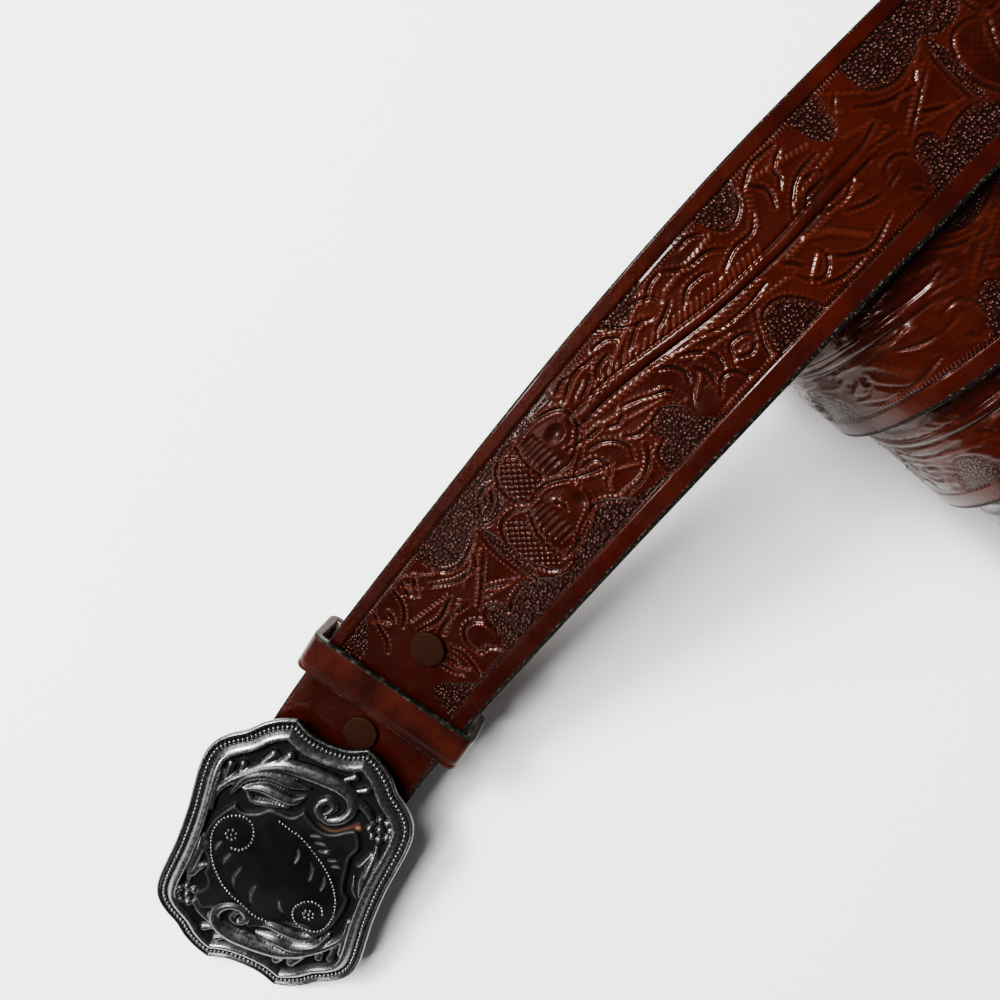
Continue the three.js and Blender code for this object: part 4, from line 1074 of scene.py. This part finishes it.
def plate_relief(x, y, inset, panel_gap, in_panel):
    """Height of the plate's face and its dark, bright and copper shares."""
    height = np.interp(inset, RIM["inset"], RIM["height"])
    field = inset > FIELD_INSET
    deep = smooth(5.8, 6.3, inset) + 0.18 * smooth(1.1, 1.6, inset) * smooth(3.3, 2.9, inset)
    crest = 0.22 + 0.5 * smooth(1.9, 0.4, np.abs(inset - RIDGE_INSET))
    crest += 0.3 * smooth(0.4, 0.1, np.abs(inset - LIP_INSET))
    stems = np.full(x.shape, NOTHING)
    for turned in (False, True):
        for rows in FOLIAGE.values():
            stems = np.maximum(stems, stem_height(x, y, rows, turned))
        way = -1 if turned else 1
        cx, cy = way * FLOWER[0] * PLATE_LENGTH / 2, way * FLOWER[1] * PLATE_WIDTH / 2
        domes = [(cx, cy, FLOWER_EYE_RADIUS, 0.3)]
        for petal in range(FLOWER_PETALS):
            angle = petal * 2 * math.pi / FLOWER_PETALS + 0.3
            reach = (PETAL_REACH * math.cos(angle), PETAL_REACH * math.sin(angle))
            domes.append((cx + reach[0], cy + reach[1], PETAL_RADIUS, 0.2))
        for dx, dy, radius, lift in domes:
            gap = np.hypot(x - dx, y - dy)
            dome = FIELD_FLOOR + lift + 1.1 * np.sqrt(np.clip(1 - (gap / radius) ** 2, 0, 1))
            stems = np.maximum(stems, np.where(gap < radius, dome, NOTHING))
    raised = field & (stems > height)
    tall = smooth(0.15, 1.1, stems - FIELD_FLOOR)
    height = np.where(raised, stems, height)
    deep = np.where(raised, 1 - smooth(0.05, 0.55, tall), deep)
    crest = np.where(raised, 0.3 * smooth(0.3, 1, tall), crest)
    wall = smooth(0, PANEL_WALL, panel_gap)
    lip = np.exp(-(((panel_gap - 1) / 0.4) ** 2))
    panel = panel_level(panel_gap, np.sqrt(wall)) + PANEL_LIP * lip
    on_panel = in_panel & (panel > height)
    height = np.where(on_panel, panel, height)
    shade = 0.7 + 0.15 * smooth(0, 16, panel_gap)
    deep = np.where(on_panel, np.maximum(1 - smooth(0.1, 0.75, wall), shade), deep)
    crest = np.where(on_panel, 0.4 * lip, crest)
    half = np.array([PLATE_LENGTH / 2, PLATE_WIDTH / 2])
    for comma in COMMAS:
        line = curve(np.array(comma) * half, 14)
        near = near_box(x, y, line, COMMA_REACH)
        gap, row = line_distance(x[near], y[near], line)
        wide = 0.15 + 0.4 * np.sin(np.pi * np.clip(row / (len(line) - 1), 0, 1) ** 0.7)
        groove = np.exp(-((gap / wide) ** 2))
        height[near] -= COMMA_DEPTH * groove
        bright = np.exp(-((gap / (0.8 * wide)) ** 2)) * smooth(0.2, 0.42, wide)
        crest[near] = np.maximum(crest[near], bright)
        deep[near] *= 1 - bright
    line = curve(np.array(COPPER_LINE) * half, 20)
    gap, row = line_distance(x, y, line)
    copper = 0.1 * np.exp(-((gap / 0.45) ** 2)) * smooth(0, 8, row)
    gap = np.hypot(x - COPPER_SPOT[0] * half[0], y - COPPER_SPOT[1] * half[1])
    copper = np.maximum(copper, 0.6 * np.exp(-((gap / 0.6) ** 2)))
    return height, np.clip(deep, 0, 1), np.clip(crest, 0, 1), copper


def inside_polygon(x, y, polygon):
    """True where a point is inside a closed outline."""
    result = np.zeros(x.shape, bool)
    before = polygon[-1]
    for point in polygon:
        crosses = (point[1] > y) != (before[1] > y)
        slope = (before[0] - point[0]) / (before[1] - point[1] + 1e-12)
        result ^= crosses & (x < point[0] + (y - point[1]) * slope)
        before = point
    return result


def panel_outline():
    """Closed outline of the smooth middle panel in millimetres."""
    corners = np.array(PANEL) * [PLATE_LENGTH / 2, PLATE_WIDTH / 2]
    return curve(np.vstack([corners, corners[:1]]), 260)


def plate_piece():
    """Plate with its rim, foliage and panel, as rings from the back to the middle of the face."""
    outline = plate_outline()
    closed = np.vstack([outline, outline[:1]])
    panel = panel_outline()
    rim = np.linspace(1, RIM_SHARE, RINGS_IN_RIM)
    shares = np.concatenate([rim, np.linspace(RIM_SHARE, 0, RINGS_INSIDE + 1)[1:-1]])
    flat = shares[:, None, None] * outline[None]
    x, y = flat[..., 0], flat[..., 1]
    inset = np.full_like(x, FAR_INSET)
    near_edge = shares > FAR_INSIDE_SHARE
    inset[near_edge] = line_distance(x[near_edge], y[near_edge], closed)[0]
    panel_gap = line_distance(x.ravel(), y.ravel(), panel)[0].reshape(x.shape)
    in_panel = inside_polygon(x, y, panel)
    height, deep, crest, copper = plate_relief(x, y, inset, np.where(in_panel, panel_gap, 0), in_panel)
    face = np.stack([x, y, height], -1)
    back_rings = []
    for share, level in BACK_RINGS:
        back_rings.append(np.concatenate([outline * share, np.full((len(outline), 1), level)], 1))
    back = np.stack(back_rings)
    empty = np.zeros(back.shape[:2])
    points = plate_world(np.concatenate([back, face]))
    layers = {
        "deep": np.concatenate([empty + 0.15, deep]).ravel(),
        "crest": np.concatenate([empty, crest]).ravel(),
        "copper": np.concatenate([empty, copper]).ravel(),
    }
    return skin("buckle_plate_finish", points, layers)


def ball_points(centres, radius, level):
    """Small balls at flat places on the plate: points and faces."""
    bpy.ops.mesh.primitive_ico_sphere_add(subdivisions=2, radius=1)
    ball = bpy.context.object
    shape = np.array([vertex.co[:] for vertex in ball.data.vertices])
    faces = np.array([face.vertices[:] for face in ball.data.polygons])
    bpy.data.objects.remove(ball)
    centres = np.concatenate([centres, np.full(len(centres), level)[:, None]], 1)
    points = centres[:, None, :] + shape[None] * radius
    joined = (faces[None] + np.arange(len(centres))[:, None, None] * len(shape)).reshape(-1, 3)
    return plate_world(points.reshape(-1, 3)), joined


def bead_places():
    """Flat places of the rim's beads, and of the smaller beads of the curves and rosettes."""
    outline = plate_outline()
    closed = np.vstack([outline, outline[:1]])
    tangent = np.roll(outline, -1, 0) - np.roll(outline, 1, 0)
    normal = np.stack([-tangent[:, 1], tangent[:, 0]], 1)
    normal /= np.linalg.norm(normal, axis=1)[:, None]
    line = outline + normal * BEAD_INSET
    keep = line_distance(line[:, 0], line[:, 1], closed)[0] > BEAD_INSET - 0.15
    line = line[keep]
    line = np.vstack([line, line[:1]])
    walked = np.concatenate([[0], np.cumsum(np.linalg.norm(np.diff(line, axis=0), axis=1))])
    count = round(walked[-1] / BEAD_PITCH)
    places = np.linspace(0, walked[-1], count, endpoint=False)
    rim = np.stack([np.interp(places, walked, line[:, k]) for k in range(2)], 1)
    half = np.array([PLATE_LENGTH / 2, PLATE_WIDTH / 2])
    small = []
    for points in BEADED_CURVES:
        corners = np.array(points) * half
        length = np.linalg.norm(np.diff(corners, axis=0), axis=1).sum()
        small.append(curve(corners, round(length / SMALL_BEAD_PITCH)))
    for centre in ROSETTES:
        middle = np.array(centre) * half
        angle = np.linspace(0, 2 * math.pi, ROSETTE_BEADS, endpoint=False)
        small.append(middle + ROSETTE_RADIUS * np.stack([np.cos(angle), np.sin(angle)], 1))
        small.append(middle[None])
    return rim, np.vstack(small)


# Settings


def tone(name, description, colour):
    """Colour that a user may change."""
    return bpy.props.FloatVectorProperty(
        name=name, description=description, subtype="COLOR", size=3, min=0, max=1, default=colour
    )


def power(name, description, watts):
    """Power of a light that a user may change."""
    return bpy.props.FloatProperty(name=name, description=description, unit="POWER", min=0, default=watts)


def length(name, description, millimetres):
    """Length that a user may change."""
    return bpy.props.FloatProperty(
        name=name, description=description, unit="LENGTH", min=0.0001, precision=5, default=millimetres * MM
    )


class BeltLook(bpy.types.PropertyGroup):
    warm: tone("Leather, warm", "Lighter tone of the tooled leather", (0.0145, 0.0011, 0.0002))
    dark: tone("Leather, dark", "Darker tone of the tooled leather", (0.0075, 0.0006, 0.0002))
    deep: tone("Leather, deep", "Tone of the keeper and of the strap near it", (0.0048, 0.0003, 0.0002))
    cap: tone("Snap enamel", "Colour of the snap caps", (0.0048, 0.0014, 0.0006))
    metal: tone("Metal", "Body tone of the cast buckle", (0.05, 0.0515, 0.049))
    metal_dark: tone("Metal, dark", "Darker tone of the cast buckle", (0.02, 0.0212, 0.0195))
    metal_bright: tone("Metal, worn", "Tone of the worn crests", (0.3, 0.3, 0.285))
    gloss: bpy.props.FloatProperty(
        name="Gloss", description="Share of clear finish on the leather", subtype="FACTOR", min=0, max=1,
        default=0.18)
    hole: length("Hole", "Width of each hole near the tip", 4.6)
    keeper: length("Keeper width", "Width of the keeper's band", 11.5)
    bead: length("Rim bead", "Radius of the beads round the buckle's rim", 0.64)
    small_bead: length("Small bead", "Radius of the beads on the buckle's panel", 0.42)


class StageLook(bpy.types.PropertyGroup):
    floor: tone("Floor", "Colour of the pale floor", (0.83, 0.83, 0.82))
    key_power: power("Key light", "Power of the main light", 32.0)
    fill_power: power("Fill light", "Power of the large soft light", 100.0)
    camera_height: length("Camera height", "Height of the camera over the floor", 297.4)


# Operators


class BELT_OT_strap(bpy.types.Operator):
    """Add the strap: its folded end, its tooled run and its roll"""

    bl_idname = "belt.strap"
    bl_label = "Strap"

    def execute(self, context):
        material = strap_leather(context.scene.belt_look)
        fold = stations_on_fold()
        start = stations_on_run(np.arange(0, KEEPER_PLACE + 0.1, PLAIN_STEP))
        plain = [np.concatenate([a, b]) for a, b in zip(fold, start)]
        end_piece = skin("strap_end", *strap_surface(plain, PLAIN_COLUMNS, False))
        run = stations_on_run(np.arange(plain[3][-1], RUN_LENGTH, FINE_STEP))
        roll = stations_on_roll()
        joined = [np.concatenate([a, b[:1]]) for a, b in zip(run, roll)]
        run_piece = skin("strap_run", *strap_surface(joined, RUN_COLUMNS, True), apart=True)
        turn_end = int(np.searchsorted(roll[3], RUN_LENGTH + FIRST_TURN_LENGTH))
        turn = strap_surface([a[: turn_end + 1] for a in roll], RUN_COLUMNS, True)
        turn_piece = skin("strap_turn", *turn, apart=True)
        part_end = int(np.searchsorted(roll[3], RUN_LENGTH + SECOND_PART_LENGTH))
        inner = np.append(np.arange(turn_end, part_end, 2), part_end)
        inner_piece = skin("strap_inner_turns", *strap_surface([a[inner] for a in roll], ROLL_COLUMNS, True))
        last = np.append(np.arange(part_end, len(roll[3]) - 1, 2), len(roll[3]) - 1)
        tip_piece = skin("strap_tip", *strap_surface([a[last] for a in roll], ROLL_COLUMNS, True))
        self.cut_holes(tip_piece, roll, context.scene.belt_look.hole / 2)
        for piece in (end_piece, run_piece, turn_piece, inner_piece, tip_piece):
            finish_piece(piece, "belt", material, "strap_leather", "strap")
        return {"FINISHED"}

    def cut_holes(self, piece, stations, radius):
        """Cuts the row of holes near the tip."""
        origin, side, up, _, _, to_tip = stations
        cutters = []
        for hole in range(HOLE_COUNT):
            wanted = LAST_HOLE_TO_TIP + hole * HOLE_PITCH
            near = int(np.argmin(np.abs(to_tip - wanted)))
            along = np.cross(up[near], side[near])
            turn = Matrix(np.stack([side[near], along, up[near]], 1).tolist()).to_4x4()
            bpy.ops.mesh.primitive_cylinder_add(vertices=32, radius=radius, depth=2 * STRAP_THICK * MM)
            cutter = bpy.context.object
            cutter.matrix_world = Matrix.Translation((origin[near] * MM).tolist()) @ turn
            cutters.append(cutter)
        for cutter in cutters:
            change = piece.modifiers.new("hole", "BOOLEAN")
            change.object = cutter
            change.solver = "EXACT"
            take(piece)
            bpy.ops.object.modifier_apply(modifier=change.name)
            bpy.data.objects.remove(cutter)


class BELT_OT_keeper(bpy.types.Operator):
    """Add the leather keeper round both layers"""

    bl_idname = "belt.keeper"
    bl_label = "Keeper"

    skew: bpy.props.FloatProperty(
        name="Skew", description="Turn of the keeper on the strap", subtype="ANGLE", default=math.radians(4))

    def execute(self, context):
        look = context.scene.belt_look
        origin, along, side, up = (value[0] for value in on_run(np.array([float(KEEPER_PLACE)])))
        side = side * math.cos(self.skew) + along * math.sin(self.skew)
        along = np.cross(up, side)
        path, out = self.band_course()
        ring, layers = self.band_section(look.keeper / MM)
        place = path[:, None, :] + out[:, None, :] * ring[None, :, 1:2]
        points = origin + place[..., 0:1] * side + place[..., 1:2] * up + ring[None, :, 0:1] * along
        points = np.concatenate([points, points[:1]])
        layers = {label: np.tile(values, len(points)) for label, values in layers.items()}
        piece = skin("keeper_finish", points, layers, capped=False)
        take(piece)
        weld = piece.modifiers.new("weld", "WELD")
        weld.merge_threshold = 1e-6
        bpy.ops.object.modifier_apply(modifier=weld.name)
        material = plain_leather("keeper_leather", look, (0.002, 0.0025, 0.0018))
        finish_piece(piece, "belt", material, "keeper_leather", "keeper")
        return {"FINISHED"}

    def band_course(self):
        """Closed course of the band round both layers, across and up, and its outward directions."""
        half = STRAP_WIDTH / 2 + KEEPER_SIDE_GAP + KEEPER_THICK / 2
        roof = KEEPER_TOP_GAP + KEEPER_THICK / 2
        floor = -2 * STRAP_THICK - LAYER_GAP - KEEPER_UNDER_GAP - KEEPER_THICK / 2
        radius = KEEPER_CORNER
        path, out = [], []
        for way, level, start in ((1, roof - radius, 90), (1, floor + radius, 0),
                                  (-1, floor + radius, -90), (-1, roof - radius, -180)):
            for angle in np.radians(np.linspace(start, start - 90, 9)):
                turn = np.array([math.cos(angle), math.sin(angle)])
                path.append(np.array([way * (half - radius), level]) + radius * turn)
                out.append(turn)
        longer, outs = [], []
        for index, (here, turn) in enumerate(zip(path, out)):
            after = (index + 1) % len(path)
            count = max(1, round(np.linalg.norm(path[after] - here) / KEEPER_STEP))
            for share in np.arange(count) / count:
                longer.append(here * (1 - share) + path[after] * share)
                outs.append(turn * (1 - share) + out[after] * share)
        outs = np.array(outs)
        return np.array(longer), outs / np.linalg.norm(outs, axis=1)[:, None]

    def band_section(self, width):
        """Section of the band, along the strap and outward, and its edge, crease and bare shares."""
        wide, deep, soft = width / 2, KEEPER_THICK / 2, KEEPER_EDGE
        ring, edge, crease = [], [], []
        for x in np.linspace(-wide + soft, wide - soft, 40):
            groove = math.exp(-(((x + wide - KEEPER_CREASE) / 0.3) ** 2))
            mark = math.exp(-(((x + wide - KEEPER_CREASE) / 0.28) ** 2))
            mark += math.exp(-(((x + wide - KEEPER_SECOND_CREASE) / 0.2) ** 2))
            ring.append((x, deep - 0.16 * groove))
            edge.append(0)
            crease.append(mark)
        for way, start in ((1, 90), (-1, -90)):
            for level in (way * (deep - soft), way * (soft - deep)):
                for angle in np.radians(np.linspace(start - 15, start - 90, 5)):
                    place = way * (wide - soft) + soft * math.cos(angle)
                    ring.append((place, level + soft * math.sin(angle)))
                    edge.append(1)
                    crease.append(0)
                start -= 90
            inside = np.linspace(wide - soft, soft - wide, 8) if way > 0 else []
            for x in inside:
                ring.append((x, -deep))
                edge.append(0)
                crease.append(0)
        bare = [level < 0.1 - deep for _, level in ring]
        return np.array(ring), {"edge": edge, "crease": crease, "flesh": bare}


class BELT_OT_snaps(bpy.types.Operator):
    """Add the two snaps that close the fold"""

    bl_idname = "belt.snaps"
    bl_label = "Snaps"

    def execute(self, context):
        material = enamel(context.scene.belt_look)
        for number, place in enumerate(SNAP_PLACES, 1):
            origin, _, side, up = (value[0] for value in on_run(np.array([float(place)])))
            turn = Matrix(np.stack([side, np.cross(up, side), up], 1).tolist()).to_4x4()
            parts = []
            for radius, low, high, rounding in SNAP_PARTS.values():
                depth = (high - low) * MM
                bpy.ops.mesh.primitive_cylinder_add(vertices=72, radius=radius * MM, depth=depth)
                part = bpy.context.object
                bevel(part, rounding, 5)
                middle = origin + up * (low + high) / 2
                part.data.transform(Matrix.Translation((middle * MM).tolist()) @ turn)
                bpy.ops.object.shade_smooth_by_angle(angle=SHARP_ANGLE)
                parts.append(part)
            take(*parts)
            bpy.ops.object.join()
            parts[0].name = f"snap_{number}_finish"
            finish_piece(parts[0], "belt", material, "snap_cap", f"snap_{number}")
        return {"FINISHED"}


class BELT_OT_buckle(bpy.types.Operator):
    """Add the cast buckle: its plate, its beads, its bar and its hook"""

    bl_idname = "belt.buckle"
    bl_label = "Buckle"

    def execute(self, context):
        look = context.scene.belt_look
        material = cast_metal(look)
        plate = plate_piece()
        finish_piece(plate, "buckle", material, "buckle_metal", "buckle_plate")
        rim, small = bead_places()
        points, faces = ball_points(rim, look.bead / MM, BEAD_LEVEL)
        gap = line_distance(small[:, 0], small[:, 1], panel_outline())[0]
        more, more_faces = ball_points(small, look.small_bead / MM, panel_level(gap) + 0.02)
        every = np.vstack([points, more]) * MM
        every_face = np.vstack([faces, more_faces + len(points)])
        bright = np.concatenate([np.full(len(points), 0.5), np.full(len(more), 0.85)])
        layers = {"deep": 0 * bright, "crest": bright, "copper": 0 * bright}
        beads = mesh_object("buckle_beads", every, every_face.tolist(), layers)
        finish_piece(beads, "buckle", material, "buckle_metal")
        self.add_bale(material)
        return {"FINISHED"}

    def add_bale(self, material):
        """Adds the bar, the two lugs and the hook on the plate's back."""
        reach = STRAP_WIDTH / 2 + LUG_CLEARANCE + LUG_THICK
        top = PLATE_BACK / 2 - BAR_FROM_CENTRE**2 / (2 * PLATE_BEND_RADIUS)
        tall = top + BAR_DROP + BAR_DIAMETER / 2 + LUG_PAST_BAR
        across = Matrix.Rotation(math.pi / 2, 4, "X")
        parts = [self.round_part((BAR_FROM_CENTRE, 0, -BAR_DROP), BAR_DIAMETER, 2 * reach - 1, across)]
        for way in (-1, 1):
            bpy.ops.mesh.primitive_cube_add(size=1)
            middle = (BAR_FROM_CENTRE, way * (reach - LUG_THICK / 2), top - tall / 2)
            parts.append(self.on_plate((LUG_WIDTH, LUG_THICK, tall), Matrix.Identity(4), middle))
        angle = HOOK_FROM_CENTRE / PLATE_BEND_RADIUS
        foot = (PLATE_BEND_RADIUS + PLATE_BACK) * np.array([-math.sin(angle), 0, math.cos(angle)])
        foot[2] -= PLATE_BEND_RADIUS
        lean = math.radians(HOOK_LEAN)
        middle = foot - np.array([math.sin(lean), 0, math.cos(lean)]) * (HOOK_LENGTH / 2 - 0.5)
        parts.append(self.round_part(middle, HOOK_DIAMETER, HOOK_LENGTH + 1, Matrix.Rotation(lean, 4, "Y")))
        take(*parts)
        bpy.ops.object.join()
        parts[0].name = "buckle_bale"
        finish_piece(parts[0], "buckle", material, "buckle_metal")

    def round_part(self, middle, diameter, long, turn):
        """Round bar at a place on the plate's own axes."""
        bpy.ops.mesh.primitive_cylinder_add(vertices=48, radius=0.5, depth=1)
        return self.on_plate((diameter, diameter, long), turn, middle)

    def on_plate(self, size, turn, middle):
        """Gives the new primitive its size, turn, rounded edges and place on the plate."""
        part = bpy.context.object
        axes = plate_axes()
        part.data.transform(turn @ Matrix.Diagonal([value * MM for value in size] + [1]))
        bevel(part, BALE_BEVEL, 4)
        world = np.array(middle) @ axes + plate_centre()
        part.data.transform(Matrix.Translation((world * MM).tolist()) @ Matrix(axes.T.tolist()).to_4x4())
        bpy.ops.object.shade_smooth_by_angle(angle=SHARP_ANGLE)
        for name, value in (("deep", 0.25), ("crest", 0.0), ("copper", 0.0)):
            layer = part.data.attributes.new(name, "FLOAT", "POINT")
            layer.data.foreach_set("value", [value] * len(part.data.vertices))
        return part


class BELT_OT_stage(bpy.types.Operator):
    """Add the pale floor, the lights and the camera"""

    bl_idname = "belt.stage"
    bl_label = "Stage"

    def execute(self, context):
        look = context.scene.belt_stage
        bpy.ops.mesh.primitive_plane_add(size=FLOOR_SIZE)
        floor = bpy.context.object
        floor.name = "floor"
        floor.data.materials.append(paper(look.floor))
        self.add_light("key", KEY_PLACE, LIGHT_AIM, KEY_SIZE, look.key_power)
        self.add_light("spark", SPARK_PLACE, LIGHT_AIM, SPARK_SIZE, look.key_power * SPARK_SHARE)
        fill = self.add_light("fill", FILL_PLACE, (0, 0, 0), FILL_SIZE, look.fill_power)
        fill.visible_glossy = False
        world = bpy.data.worlds.new("room")
        world.use_nodes = True
        room = world.node_tree.nodes["Background"]
        room.inputs[0].default_value = ROOM_COLOUR
        room.inputs[1].default_value = ROOM_STRENGTH
        context.scene.world = world
        camera = bpy.data.objects.new("camera", bpy.data.cameras.new("camera"))
        context.scene.collection.objects.link(camera)
        snap = on_run(np.array([float(SNAP_PLACES[1])]))[0][0]
        east, north = snap[0] + CAMERA_FROM_SNAP[0], snap[1] + CAMERA_FROM_SNAP[1]
        camera.location = (east * MM, north * MM, look.camera_height)
        camera.rotation_euler = (0, 0, math.radians(CAMERA_TURN))
        camera.data.lens = 36
        camera.data.sensor_width = 36
        camera.data.shift_x = CAMERA_SHIFT
        camera.data.clip_start = 0.01
        context.scene.camera = camera
        return {"FINISHED"}

    def add_light(self, name, place, target, size, power):
        """Adds one square light that faces a point."""
        light = bpy.data.objects.new(name, bpy.data.lights.new(name, "AREA"))
        bpy.context.scene.collection.objects.link(light)
        light.data.size = size
        light.data.energy = power
        light.location = place
        away = Matrix.Translation(place).translation - Matrix.Translation(target).translation
        light.rotation_euler = away.to_track_quat("Z", "Y").to_euler()
        return light


class BELT_PT_parts(bpy.types.Panel):
    """Buttons that add the belt's pieces and its stage"""

    bl_label = "Western Tooled Belt"
    bl_idname = "BELT_PT_parts"
    bl_space_type = "VIEW_3D"
    bl_region_type = "UI"
    bl_category = "Belt"

    def draw(self, context):
        for operator in OPERATORS:
            self.layout.operator(operator.bl_idname)
        for settings in (context.scene.belt_look, context.scene.belt_stage):
            for name in settings.__annotations__:
                self.layout.prop(settings, name)


OPERATORS = (BELT_OT_strap, BELT_OT_keeper, BELT_OT_snaps, BELT_OT_buckle, BELT_OT_stage)
CLASSES = (BeltLook, StageLook, *OPERATORS, BELT_PT_parts)


def register():
    """Registers the classes and their settings."""
    for item in CLASSES:
        bpy.utils.register_class(item)
    bpy.types.Scene.belt_look = bpy.props.PointerProperty(type=BeltLook)
    bpy.types.Scene.belt_stage = bpy.props.PointerProperty(type=StageLook)


def unregister():
    """Removes the settings and the classes."""
    del bpy.types.Scene.belt_stage
    del bpy.types.Scene.belt_look
    for item in reversed(CLASSES):
        bpy.utils.unregister_class(item)


def main():
    """Adds every piece and the stage."""
    register()
    bpy.ops.belt.strap()
    bpy.ops.belt.keeper()
    bpy.ops.belt.snaps()
    bpy.ops.belt.buckle()
    bpy.ops.belt.stage()


if __name__ == "__main__":
    main()
